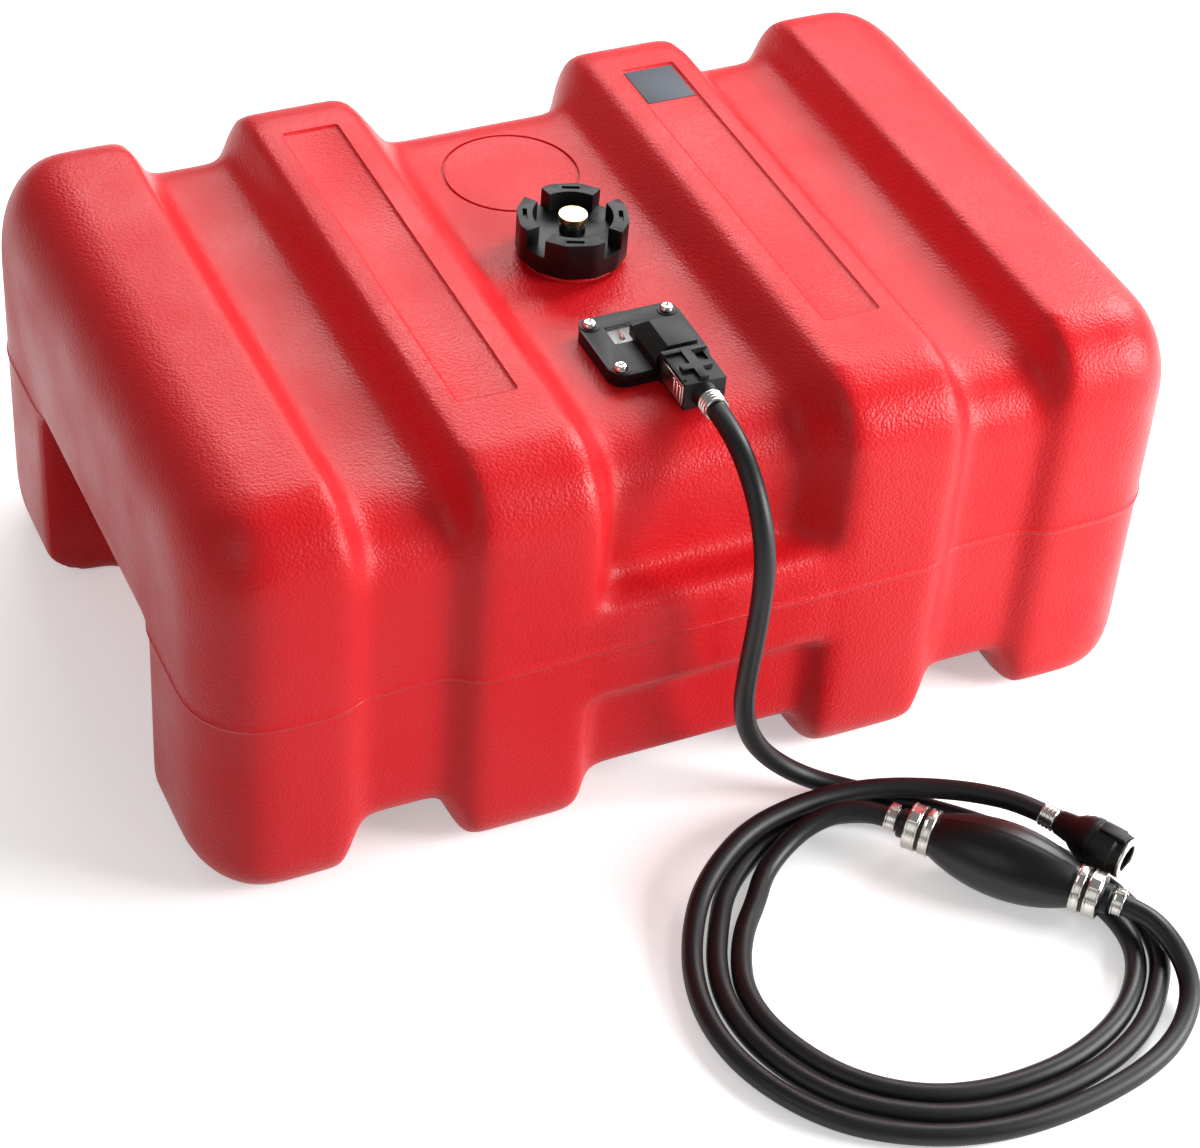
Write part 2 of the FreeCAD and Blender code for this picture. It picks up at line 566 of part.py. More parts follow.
CON_Y = "(-connector_start - connector_length)"
CON_Z = "(fuel_axis - connector_height / 2)"
con_block = rounded("ConnectorRound",
                    block("ConnectorBlock", "connector_width", "connector_length",
                          "connector_height", "line_offset - connector_width / 2", CON_Y, CON_Z),
                    2.5, lambda edge: edge.BoundBox.YLength > 20)
con_tail = cone("ConnectorTail", "8.6", "6.6", "7", "line_offset", CON_Y + " + 0.5", "fuel_axis",
                ALONG_FRONT)
con_bore = rod("ConnectorBore", "nipple_radius + 0.3", "nipple_reach", "line_offset",
               "-connector_start + 2", "fuel_axis", ALONG_FRONT)
con_groove = rod("ConnectorGroove", "nipple_radius + 2.4", "2.6", "line_offset",
                 "-connector_start - 4", "fuel_axis", ALONG_FRONT)
con_duct = rod("ConnectorDuct", "2.4", "60", "line_offset", "-connector_start - 2", "fuel_axis",
               ALONG_FRONT)
latch_seat = block("LatchSeat", "latch_thick + 3.6", "latch_length + 1.5", "latch_height + 2",
                   "line_offset - connector_width / 2 - 1", CON_Y + " + 1.5",
                   "fuel_axis - latch_height / 2 - 1")
top_relief = block("TopRelief", "9", "connector_length - 14", "3", "line_offset - 4",
                   CON_Y + " + 16", CON_Z + " + connector_height - 1.6")
pin_hole_x = "(line_offset - connector_width / 2 + 1.6)"
pin_hole = rod("LatchPinHole", "1.0", "connector_height + 10", pin_hole_x, CON_Y + " + 4",
               CON_Z + " - 4")
node("tank_connector", cut("TankConnector", fuse("ConnectorBlank", con_block, con_tail), con_bore,
                           con_groove, con_duct, latch_seat, top_relief, pin_hole))
node("latch_pin", rod("LatchPin", "1.0", "connector_height", pin_hole_x, CON_Y + " + 4", CON_Z))
latch_plate = block("LatchPlate", "latch_thick", "latch_length", "latch_height",
                    "line_offset - connector_width / 2 - 0.6", CON_Y + " + 2",
                    "fuel_axis - latch_height / 2")
latch_eye = rod("LatchEye", "2.1", "latch_height", pin_hole_x, CON_Y + " + 4",
                "fuel_axis - latch_height / 2")
latch_hole = rod("LatchHole", "1.05", "40", pin_hole_x, CON_Y + " + 4", CON_Z + " - 10")
node("connector_latch", cut("ConnectorLatch", fuse("LatchBlank", latch_plate, latch_eye),
                            latch_hole))
node("connector_seal", cut("ConnectorSeal",
                           rod("SealOuter", "nipple_radius + 2.4", "2.6", "line_offset",
                               "-connector_start - 4", "fuel_axis", ALONG_FRONT),
                           rod("SealInner", "nipple_radius + running_gap", "10", "line_offset",
                               "-connector_start", "fuel_axis", ALONG_FRONT)))
LINE_START = "(-connector_start - connector_length - 6.5)"
node("tank_ferrule", cut("TankFerrule",
                         rod("FerruleOuter", "ferrule_radius", "ferrule_length", "line_offset",
                             LINE_START, "fuel_axis", ALONG_FRONT),
                         rod("FerruleInner", "hose_diameter / 2", "40", "line_offset",
                             LINE_START + " + 5", "fuel_axis", ALONG_FRONT)))

# Fuel line: the stretch from the tank, the loops on the ground, and the engine's stretch


def turn_point(alias_x, alias_y, angle, along, height):
    """Point at a distance along an axis through a piece's centre, turned in plan."""
    heading = math.radians(angle)
    return (alias_x + along * math.cos(heading), alias_y + along * math.sin(heading), height)


HOSE_HEIGHT = 6.6
hose_start = (size("line_offset"),
              -size("connector_start") - size("connector_length") - 6.5, size("fuel_axis"))
DROP = [hose_start, (8, -190.5, 262), (8, -216.5, 251.3), (8.3, -236.3, 231.5),
        (8.6, -246, 205.6), (9, -246, 177), (9.2, -243.5, 148), (9.5, -240, 119.5),
        (11, -236.5, 92.5), (16, -234, 68), (27, -232.5, 45), (44, -233.5, 25.3),
        (64, -240, 12.2), (86, -251.5, 6.6), (105.5, -268, 6.6)]
LOOPS = [(105.5, -268, 6.6), (125, -284.5, 6.6), (143, -302, 6.6), (160, -321.5, 6.6),
         (175, -343, 6.6), (187.5, -367, 6.6), (195.5, -392.5, 6.6), (197, -418, 6.6),
         (190, -441.5, 6.6), (174.5, -462, 6.6), (156, -479.5, 6.6), (132.5, -492.5, 6.6),
         (106, -500.5, 6.6), (77.5, -504.5, 6.6), (47.5, -504, 6.6), (19, -498, 6.6),
         (-7.5, -485, 6.6), (-32, -466, 6.6), (-49.5, -440.5, 6.6), (-60, -411, 6.6),
         (-62, -380.5, 6.6), (-55, -352.5, 6.6), (-41.5, -327, 6.6), (-24, -300, 6.6),
         (2, -280, 6.6), (30, -268.5, 6.6), (60, -265, 6.6), (87, -272, 6.6), (108, -289.5, 6.6),
         (127, -308, 6.6), (145, -327, 6.6), (161, -347, 6.6), (173, -369, 6.6),
         (181.5, -392.5, 6.6), (183, -417, 6.6), (175.5, -438.5, 6.6), (161, -456.5, 6.6),
         (143, -471, 6.6), (121, -481.5, 6.6), (95.5, -488.5, 6.6), (68.5, -490.5, 6.6),
         (42, -489, 6.6), (16, -481.5, 6.6), (-7, -468, 6.6), (-26, -449, 6.6),
         (-39.5, -425, 6.6), (-47.5, -399.5, 6.6), (-47.5, -374.5, 6.6), (-39.5, -352.5, 6.6),
         (-27, -332, 6.6), (-11, -315, 6.8), (2.5, -297.5, 8.4), (21, -285.5, 12.4),
         (40, -279, 18), (60, -279, 22.6)]


def bulb_point(along):
    """Point on the primer bulb's axis."""
    return turn_point(size("bulb_x"), size("bulb_y"), size("bulb_turn"), along,
                      size("bulb_height"))


def engine_point(along):
    """Point on the engine connector's axis."""
    return turn_point(size("engine_x"), size("engine_y"), size("engine_turn"), along,
                      size("engine_height"))


LOOPS += [bulb_point(-size("line_end") - 19), bulb_point(-size("line_end"))]
RETURN = [bulb_point(size("line_end")), bulb_point(size("line_end") + 19),
          (194, -433.5, 22.3), (195.5, -452, 17.5), (191.5, -470, 12), (178.5, -486, 8),
          (159.5, -499.5, 6.6), (135.5, -509, 6.6), (108, -515, 6.6), (78, -518.5, 6.6),
          (47.5, -518, 6.6), (17, -512, 6.6), (-12.5, -499.5, 6.6), (-40, -480.5, 6.6),
          (-61, -453, 6.6), (-74.5, -420.5, 6.6), (-77.5, -387, 6.6), (-71, -354.5, 7),
          (-58.5, -327, 10), (-42, -303.5, 15), (-20, -286, 19.5), (5, -272, 20.8),
          (34, -265, 21), (65, -263.5, 21), (95, -268.5, 21), (122, -280, 22), (146, -296.5, 25),
          engine_point(-31), engine_point(-8)]


def tube_path(points):
    """Straight runs joined by tangent arcs, each as large as its two runs allow."""
    spots = [Vec(*point) for point in points]
    edges = []
    radii = []
    last = spots[0]
    for before, spot, after in zip(spots, spots[1:], spots[2:]):
        back = before - spot
        ahead = after - spot
        run = min(back.Length, ahead.Length)
        back.normalize()
        ahead.normalize()
        half_turn = (math.pi - back.getAngle(ahead)) / 2
        reach = 0.45 * run
        radius = reach / math.tan(half_turn)
        radii.append(radius)
        entry = spot + back * reach
        leave = spot + ahead * reach
        bisector = back + ahead
        bisector.normalize()
        middle = spot + bisector * (radius / math.cos(half_turn) - radius)
        edges.append(Part.LineSegment(last, entry).toShape())
        edges.append(Part.Arc(entry, middle, leave).toShape())
        last = leave
    edges.append(Part.LineSegment(last, spots[-1]).toShape())
    return Part.Wire(edges), radii


def hose(label, points):
    """Solid hose along a route, with its volume held against section times length."""
    path, radii = tube_path(points)
    radius = size("hose_diameter") / 2
    heading = Vec(*points[1]) - Vec(*points[0])
    ring = Part.Wire(Part.makeCircle(radius, Vec(*points[0]), heading))
    tube = path.makePipeShell([ring], True, False)
    share = tube.Volume / (math.pi * radius ** 2 * path.Length)
    print("%s: %.0f mm long, arc radii %s, volume against section times length %.4f" %
          (label, path.Length, " ".join("%.0f" % value for value in radii), share))
    print("%s: least arc radius %.1f mm" % (label, min(radii)))
    return tube, path


def least_gap(label, path, spacing=8.0):
    """Prints the least clear distance between a hose's turns."""
    spots = path.discretize(Distance=spacing)
    clear = min(spots[a].distanceToPoint(spots[b]) for a in range(len(spots))
                for b in range(a + 8, len(spots)))
    print("%s: least gap to itself %.2f mm" % (label, clear - size("hose_diameter")))


drop_shape, drop_path = hose("tank_hose", DROP)
node("tank_hose", solid("TankHose", drop_shape))
loops_shape, loops_path = hose("hose_loops", LOOPS)
least_gap("hose_loops", loops_path)
node("hose_loops", solid("HoseLoops", loops_shape))
return_shape, return_path = hose("engine_hose", RETURN)
least_gap("engine_hose", return_path)
node("engine_hose", solid("EngineHose", return_shape))

# Primer bulb and what holds it to the line, turned on one axis


def lathe(name, outline):
    """Solid of revolution about X from (x, radius) points, set on the bulb's axis."""
    wire = Part.makePolygon([Vec(x, 0, radius) for x, radius in outline + outline[:1]])
    return solid(name, Part.Face(wire).revolve(Vec(0, 0, 0), Vec(1, 0, 0), 360))


def on_bulb(item):
    """Sets a piece made about X on the bulb's axis."""
    item.Placement = FreeCAD.Placement(Vec(size("bulb_x"), size("bulb_y"), size("bulb_height")),
                                       FreeCAD.Rotation(Vec(0, 0, 1), size("bulb_turn")))
    return item


def bulb_shape():
    """Hollow squeeze bulb: a barrel between two collars."""
    half = size("bulb_half")
    collar = size("neck_collar")
    wall = size("bulb_wall")
    end = half + 17
    swell = Part.Arc(Vec(-half, 0, collar), Vec(0, 0, size("bulb_radius")), Vec(half, 0, collar))
    belly = size("bulb_radius") - wall
    inside = [(half, 0, collar - wall), (0.4 * half, 0, belly - 1), (-0.4 * half, 0, belly - 1),
              (-half, 0, collar - wall)]
    outline = [Part.LineSegment(Vec(-end, 0, collar), Vec(-half, 0, collar)).toShape(),
               swell.toShape(),
               Part.LineSegment(Vec(half, 0, collar), Vec(end, 0, collar)).toShape(),
               Part.LineSegment(Vec(end, 0, collar), Vec(end, 0, collar - wall)).toShape(),
               Part.LineSegment(Vec(end, 0, collar - wall), Vec(half, 0, collar - wall)).toShape(),
               *[Part.LineSegment(Vec(*first), Vec(*last)).toShape()
                 for first, last in zip(inside, inside[1:])],
               Part.LineSegment(Vec(-half, 0, collar - wall), Vec(-end, 0, collar - wall)).toShape(),
               Part.LineSegment(Vec(-end, 0, collar - wall), Vec(-end, 0, collar)).toShape()]
    return Part.Face(Part.Wire(outline)).revolve(Vec(0, 0, 0), Vec(1, 0, 0), 360)


node("primer_bulb", on_bulb(solid("PrimerBulb", bulb_shape())))
plug = size("neck_collar") - size("bulb_wall")
for side, word in ((-1, "inlet"), (1, "outlet")):
    near = size("bulb_half") + 2
    shoulder = size("bulb_half") + 17
    end = size("line_end")
    title = word.capitalize()
    outline = [(side * near, 4.0), (side * near, plug), (side * shoulder, plug),
               (side * shoulder, 9.2), (side * end, 9.2), (side * end, 2.4), (side * (near + 5), 2.4),
               (side * (near + 5), 4.0)]
    node("%s_fitting" % word, on_bulb(lathe(title + "Fitting", outline)))
    node("%s_check_valve" % word, on_bulb(lathe(title + "Valve", [
        (side * (near - 3.5), 0.0), (side * (near - 3.5), 5.2), (side * (near - 0.5), 5.2),
        (side * (near - 0.5), 0.0)])))
    bands = []
    for number in range(2):
        low = size("bulb_half") - 2 + number * (size("band_width") + 2.5)
        high = low + size("band_width")
        bands.append(lathe(title + "Band%d" % number, [
            (side * (low + 2.2 * (1 - number)), size("neck_collar")),
            (side * (low + 2.2 * (1 - number)), size("band_radius")),
            (side * high, size("band_radius")), (side * high, size("neck_collar"))]))
    band_pair = doc.addObject("Part::Compound", title + "Bands")
    band_pair.Links = bands
    node("%s_bands" % word, on_bulb(band_pair))
    node("%s_clamp" % word, on_bulb(lathe(title + "Clamp", [
        (side * (end + 1.5), size("hose_diameter") / 2),
        (side * (end + 1.5), size("clamp_radius")), (side * (end + 8.5), size("clamp_radius")),
        (side * (end + 8.5), size("hose_diameter") / 2)])))

# Engine connector on the far end


def on_engine(item):
    """Sets a piece made about X on the engine connector's axis."""
    item.Placement = FreeCAD.Placement(Vec(size("engine_x"), size("engine_y"),
                                           size("engine_height")),
                                       FreeCAD.Rotation(Vec(0, 0, 1), size("engine_turn")))
    return item


reach = size("engine_length")
mouth = reach - size("engine_socket_depth")
node("engine_connector", on_engine(lathe("EngineConnector", [
    (-8, 2.4), (-8, 7.6), (2, 9.0), (6, 12.0), (10, size("engine_radius") - 1),
    (14, size("engine_radius")), (reach - 6, size("engine_radius")),
    (reach - 5, size("engine_radius") - 1.4), (reach, size("engine_radius") - 1.4),
    (reach, size("engine_socket")), (reach - 3, size("engine_socket")),
    (reach - 3, size("engine_socket") + 1.6), (reach - 5.4, size("engine_socket") + 1.6),
    (reach - 5.4, size("engine_socket")), (mouth, size("engine_socket")), (mouth, 2.4)])))
node("engine_valve", on_engine(lathe("EngineValve", [
    (mouth - 8, 0.0), (mouth - 8, 2.35), (mouth - 0.2, 2.35), (mouth - 0.2, 0.0)])))
node("engine_seal", on_engine(lathe("EngineSeal", [
    (reach - 5.4, size("engine_socket")), (reach - 5.4, size("engine_socket") + 1.6),
    (reach - 3, size("engine_socket") + 1.6), (reach - 3, size("engine_socket"))])))
node("engine_face", on_engine(lathe("EngineFace", [
    (reach, size("engine_socket") + 0.3), (reach, size("engine_radius") - 1.6),
    (reach + 1.4, size("engine_radius") - 1.8), (reach + 1.4, size("engine_socket") + 0.3)])))
node("engine_ferrule", on_engine(lathe("EngineFerrule", [
    (-19, size("hose_diameter") / 2), (-19, size("ferrule_radius")),
    (-9, size("ferrule_radius")), (-9, size("hose_diameter") / 2)])))

# Recompute, check and write

doc.recompute()
for item in doc.Objects:
    if "Invalid" in item.State or "Error" in item.State:
        raise RuntimeError("%s did not compute: %s" % (item.Name, item.State))
for item in NODES:
    if item.Shape.isNull() or not item.Shape.isValid():
        raise RuntimeError("%s has no valid shape" % item.Label)
os.makedirs("parts", exist_ok=True)
for item in NODES:
    item.Shape.exportStep(os.path.join("parts", item.Label + ".step"))
    print("%-18s solids %d volume %.1f cm3" % (item.Label, len(item.Shape.Solids),
                                               item.Shape.Volume / 1000))
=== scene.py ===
"""Looks of the outboard fuel tank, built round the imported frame.

Every length in this file is in millimetres in the row frame until it goes through ``mm``.
"""
import json
import logging
import math
from dataclasses import dataclass, field
from enum import Enum
from typing import Callable, ClassVar, Optional, Sequence

import bpy
from mathutils import Matrix, Vector


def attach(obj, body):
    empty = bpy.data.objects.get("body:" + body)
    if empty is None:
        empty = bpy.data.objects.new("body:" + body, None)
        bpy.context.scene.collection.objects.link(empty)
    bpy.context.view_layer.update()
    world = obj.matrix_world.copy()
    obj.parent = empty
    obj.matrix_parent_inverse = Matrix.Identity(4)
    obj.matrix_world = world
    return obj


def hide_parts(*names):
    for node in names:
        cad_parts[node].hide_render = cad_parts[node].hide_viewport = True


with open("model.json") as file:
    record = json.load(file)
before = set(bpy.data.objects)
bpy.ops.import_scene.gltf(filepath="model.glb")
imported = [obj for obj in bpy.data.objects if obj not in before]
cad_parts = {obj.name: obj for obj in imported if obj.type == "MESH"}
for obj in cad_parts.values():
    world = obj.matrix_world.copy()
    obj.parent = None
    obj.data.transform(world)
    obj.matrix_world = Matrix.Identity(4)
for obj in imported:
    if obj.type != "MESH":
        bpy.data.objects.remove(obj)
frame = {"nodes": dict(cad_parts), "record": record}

logging.basicConfig(level=logging.INFO, format="%(message)s")
log = logging.getLogger("fuel_tank")

Pair = tuple[float, float]
Point = tuple[float, float, float]
Box = tuple[Point, Point]
Outline = Sequence[Pair]
Route = tuple[tuple[float, ...], ...]
MM = 0.001
WHITE = "FFFFFF"


def mm(value: float) -> float:
    """Turns a length in millimetres into Blender's metres."""
    return value * MM


def linear(hexadecimal: str) -> tuple[float, float, float, float]:
    """Turns an sRGB colour into the linear values that a shader wants.

    Args:
        hexadecimal: six digits, as in "C8102E".

    Returns:
        Red, green, blue and an alpha of one.
    """
    channels = [int(hexadecimal[start:start + 2], 16) / 255 for start in (0, 2, 4)]
    # The numbers are those of the sRGB standard's curve
    values = [channel / 12.92 if channel <= 0.04045 else ((channel + 0.055) / 1.055) ** 2.4
              for channel in channels]
    return (values[0], values[1], values[2], 1.0)


class Slot(Enum):
    """Material slots of the record."""

    TANK = "tank_plastic"
    BLACK = "black_plastic"
    RUBBER = "rubber"
    HOSE = "hose_rubber"
    BULB = "bulb_rubber"
    STEEL = "steel"
    BRASS = "brass"
    DIAL = "dial_white"
    LENS = "clear_lens"
    POINTER = "pointer_red"
    FLOAT = "float_plastic"


class Body(Enum):
    """Bodies of the frame that carry this file's pieces."""

    TANK = "tank"
    CAP = "cap"
    VENT = "vent"
    LATCH = "tank_latch"


class Part(Enum):
    """What a selection is made of."""

    CORNERS = "VERT"
    EDGES = "EDGE"
    FACES = "FACE"


class Merge(Enum):
    """How one solid meets another."""

    CUT = "DIFFERENCE"
    ADD = "UNION"


@dataclass(frozen=True)
class Finish:
    """How one real material looks.

    Attributes:
        colour: base colour as sRGB hex.
        roughness: 0 is a mirror, 1 is chalk.
        metallic: 1 for bare metal.
        grain_mm: size of the surface grain, 0 for none.
        grain_depth_mm: height of that grain.
        mottle: how far the roughness wanders, as a share.
        transmission: 1 for a clear material.
        specular: strength of its surface reflection, 0.5 for a common plastic.
        ior: how strongly it bends light.
        pebbled: True for a leather grain instead of fine noise.
    """

    colour: str
    roughness: float
    metallic: float = 0.0
    grain_mm: float = 0.0
    grain_depth_mm: float = 0.0
    mottle: float = 0.0
    transmission: float = 0.0
    specular: float = 0.5
    ior: float = 1.5
    pebbled: bool = False


@dataclass
class MaterialLibrary:
    """Procedural materials, one for each slot of the record.

    Attributes:
        patch_mm: size of the patches in which a roughness wanders.
        noise_span: between these values nearly all of the noise lies.
        made: the materials made so far.
    """

    # The real grain of nylon, hose, bulb, steel, brass and foam is too fine to show, so each is
    # drawn as coarse as it needs to show
    FINISHES: ClassVar[dict[Slot, tuple[str, Finish]]] = {
        # Blow-moulded polyethylene: saturated red, satin, with a pebbled leather grain
        # that breaks each highlight into sparks
        Slot.TANK: ("red_polyethylene", Finish(
            "CB121B", 0.40, grain_mm=1.9, grain_depth_mm=0.26, mottle=0.2, specular=0.28,
            pebbled=True)),
        # Injection-moulded nylon: nearly black, with a dull sheen on its edges
        Slot.BLACK: ("black_nylon", Finish(
            "060607", 0.42, grain_mm=0.6, grain_depth_mm=0.04, mottle=0.2, specular=0.3)),
        # Pressed nitrile: dead matt
        Slot.RUBBER: ("nitrile_rubber", Finish("0A0A0B", 0.62, specular=0.3)),
        # Extruded hose cover: matt with a long soft highlight
        Slot.HOSE: ("hose_rubber", Finish(
            "0C0C0E", 0.46, grain_mm=0.9, grain_depth_mm=0.04, mottle=0.2, specular=0.38)),
        # Moulded bulb: smoother than the hose, so that it shows the lights
        Slot.BULB: ("bulb_rubber", Finish(
            "060607", 0.32, grain_mm=0.9, grain_depth_mm=0.02, mottle=0.2, specular=0.36)),
        # Rolled stainless strip: bright with brushed unevenness
        Slot.STEEL: ("stainless_steel", Finish(
            "C9C6C0", 0.24, 1.0, grain_mm=0.6, grain_depth_mm=0.01, mottle=0.3)),
        # Turned brass: pale gold, clean reflections
        Slot.BRASS: ("turned_brass", Finish(
            "D9BE8C", 0.30, 1.0, grain_mm=0.4, grain_depth_mm=0.01, mottle=0.2)),
        # Printed card under the lens: flat off-white
        Slot.DIAL: ("dial_card", Finish("D8D6D0", 0.6, specular=0.2)),
        # Acrylic with a bloomed face: clear, little glare, so that the pointer reads
        Slot.LENS: ("clear_acrylic", Finish("F4F6F8", 0.04, transmission=1.0, ior=1.1)),
        # Enamelled pointer: red and flat
        Slot.POINTER: ("pointer_enamel", Finish("C2281C", 0.4)),
        # Foamed nitrile: charcoal and open-pored
        Slot.FLOAT: ("foamed_nitrile", Finish(
            "1E1E20", 0.8, grain_mm=0.8, grain_depth_mm=0.05, mottle=0.2)),
    }

    patch_mm: float = 60.0
    noise_span: Pair = (0.3, 0.7)
    made: dict[Slot, bpy.types.Material] = field(default_factory=dict)

    def get(self, slot: Slot) -> bpy.types.Material:
        """Gives a slot's material, and makes it the first time.

        Args:
            slot: the record's slot.

        Returns:
            The material.
        """
        if slot not in self.made:
            name, finish = self.FINISHES[slot]
            self.made[slot] = self.build(name, finish)
        return self.made[slot]

    @staticmethod
    def add(tree: bpy.types.NodeTree, kind: str, **values: object) -> bpy.types.Node:
        """Adds one shader node and sets its inputs by name.

        Args:
            tree: the material's node tree.
            kind: the node's type.
            values: input sockets' values, with _ for a space; a socket is linked.

        Returns:
            The new node.
        """
        node = tree.nodes.new(kind)
        for name, value in values.items():
            target = node.inputs[name.replace("_", " ")]
            if isinstance(value, bpy.types.NodeSocket):
                tree.links.new(value, target)
            else:
                target.default_value = value
        return node

    def build(self, name: str, finish: Finish) -> bpy.types.Material:
        """Builds one material from its finish.

        Args:
            name: the real material's name.
            finish: its look.

        Returns:
            The material.
        """
        material = bpy.data.materials.new(name)
        material.use_nodes = True
        tree = material.node_tree
        shader = tree.nodes["Principled BSDF"]
        for socket, value in {"Base Color": linear(finish.colour),
                              "Roughness": finish.roughness,
                              "Metallic": finish.metallic,
                              "Transmission Weight": finish.transmission,
                              "Specular IOR Level": finish.specular,
                              "IOR": finish.ior}.items():
            shader.inputs[socket].default_value = value
        if finish.mottle:
            place = self.add(tree, "ShaderNodeTexCoord")
            wander = self.add(tree, "ShaderNodeTexNoise", Vector=place.outputs["Object"],
                              Scale=1 / mm(self.patch_mm), Detail=3.0)
            rough = self.add(tree, "ShaderNodeMapRange", Value=wander.outputs["Fac"],
                             From_Min=self.noise_span[0], From_Max=self.noise_span[1],
                             To_Min=finish.roughness * (1 - finish.mottle),
                             To_Max=finish.roughness * (1 + finish.mottle))
            tree.links.new(rough.outputs["Result"], shader.inputs["Roughness"])
        if finish.grain_mm:
            place = self.add(tree, "ShaderNodeTexCoord")
            pattern = {"Vector": place.outputs["Object"], "Scale": 1 / mm(finish.grain_mm)}
            if finish.pebbled:
                grain = self.add(tree, "ShaderNodeTexVoronoi", **pattern)
            else:
                grain = self.add(tree, "ShaderNodeTexNoise", **pattern, Detail=2.0,
                                 Roughness=0.6)
            bump = self.add(tree, "ShaderNodeBump", Height=grain.outputs[0],
                            Distance=mm(finish.grain_depth_mm))
            bump.invert = finish.pebbled
            tree.links.new(bump.outputs["Normal"], shader.inputs["Normal"])
        return material


@dataclass(frozen=True)
class SoftBox:
    """One soft white light.

    Attributes:
        name: the light's name.
        spot: where it hangs.
        size: its width and height.
        watts: its power.
    """

    name: str
    spot: Point
    size: Pair
    watts: float


@dataclass
class Studio:
    """White table-top set: floor, soft lights and the camera at the photo's angle."""

    # The camera, as fitted to the photo; turns are yaw, pitch and roll in degrees
    photo_width: int = 1200
    focal_px: float = 3164.55
    sensor: float = 36.0
    eye: Point = (-697.42, -1408.48, 1350.21)
    turns: Point = (27.38, -40.57, 4.76)
    far_clip: float = 20000.0
    # The floor lies a little under the feet. The first value of tint and glow is what light
    # that bounces meets, the second what is seen directly, in a gloss or through a lens.
    floor_side: float = 12000.0
    floor_height: float = -0.3
    floor_roughness: float = 0.9
    tint: Pair = (0.45, 0.9)
    glow: Pair = (0.0, 0.4)
    # Strength of the white surroundings, what the lights look at, and the lights
    surroundings: float = 0.30
    aim: Point = (0.0, 0.0, 110.0)
    boxes: tuple[SoftBox, ...] = (
        SoftBox("key_softbox", (1500, 500, 1300), (700, 1100), 37),
        SoftBox("front_softbox", (1300, -1050, 700), (800, 800), 44),
        SoftBox("back_softbox", (500, 1300, 1300), (1500, 500), 19),
        SoftBox("fill_softbox", (-1500, -900, 1200), (1200, 1200), 5))

    def camera(self) -> None:
        """Sets the camera where the photo was taken from."""
        yaw, pitch, roll = (math.radians(angle) for angle in self.turns)
        forward = Vector((math.sin(yaw) * math.cos(pitch), math.cos(yaw) * math.cos(pitch),
                          math.sin(pitch)))
        right = Vector((math.cos(yaw), -math.sin(yaw), 0))
        up = right.cross(forward)
        rolled_right = right * math.cos(roll) + up * math.sin(roll)
        rolled_up = up * math.cos(roll) - right * math.sin(roll)
        turn = Matrix((rolled_right, rolled_up, -forward)).transposed().to_4x4()
        data = bpy.data.cameras.new("photo_camera")
        data.sensor_width = self.sensor
        data.lens = self.focal_px / self.photo_width * self.sensor
        data.clip_end = mm(self.far_clip)
        camera = bpy.data.objects.new("photo_camera", data)
        bpy.context.scene.collection.objects.link(camera)
        camera.matrix_world = Matrix.Translation(Vector(self.eye) * MM) @ turn
        bpy.context.scene.camera = camera

    def floor(self) -> None:
        """Lays the plain white floor."""
        bpy.ops.mesh.primitive_plane_add(size=mm(self.floor_side),
                                         location=(0, 0, mm(self.floor_height)))
        floor = bpy.context.object
        floor.name = "studio_floor"
        # Matt white board: plain white to the eye, darker in what it throws back on the tank
        material = bpy.data.materials.new("white_sweep")
        material.use_nodes = True
        tree = material.node_tree
        shader = tree.nodes["Principled BSDF"]
        shader.inputs["Roughness"].default_value = self.floor_roughness
        shader.inputs["Emission Color"].default_value = linear(WHITE)
        add = MaterialLibrary.add
        path = add(tree, "ShaderNodeLightPath")
        seen = path.outputs["Is Camera Ray"]
        for ray in ("Is Glossy Ray", "Is Transmission Ray"):
            total = add(tree, "ShaderNodeMath")
            total.operation = "MAXIMUM"
            tree.links.new(seen, total.inputs[0])
            tree.links.new(path.outputs[ray], total.inputs[1])
            seen = total.outputs[0]
        for socket, (bounced, direct) in {"Base Color": self.tint,
                                          "Emission Strength": self.glow}.items():
            level = add(tree, "ShaderNodeMapRange", Value=seen, To_Min=bounced, To_Max=direct)
            tree.links.new(level.outputs["Result"], shader.inputs[socket])
        floor.data.materials.append(material)

    def hang(self, box: SoftBox) -> None:
        """Hangs one soft box.

        Args:
            box: the light's place, size and power.
        """
        data = bpy.data.lights.new(box.name, "AREA")
        data.shape = "RECTANGLE"
        data.size, data.size_y = (mm(side) for side in box.size)
        data.energy = box.watts
        data.color = linear(WHITE)[:3]
        light = bpy.data.objects.new(box.name, data)
        bpy.context.scene.collection.objects.link(light)
        light.location = Vector(box.spot) * MM
        sight = Vector(self.aim) - Vector(box.spot)
        light.rotation_euler = sight.to_track_quat("-Z", "Y").to_euler()

    def lights(self) -> None:
        """Hangs the lights and sets the white surroundings."""
        world = bpy.data.worlds.new("white_room")
        world.use_nodes = True
        background = world.node_tree.nodes["Background"]
        background.inputs["Color"].default_value = linear(WHITE)
        background.inputs["Strength"].default_value = self.surroundings
        bpy.context.scene.world = world
        for box in self.boxes:
            self.hang(box)
        bpy.context.scene.view_settings.view_transform = "Standard"

    def build(self) -> None:
        """Builds the whole set."""
        self.camera()
        self.floor()
        self.lights()
        log.info("studio ready")


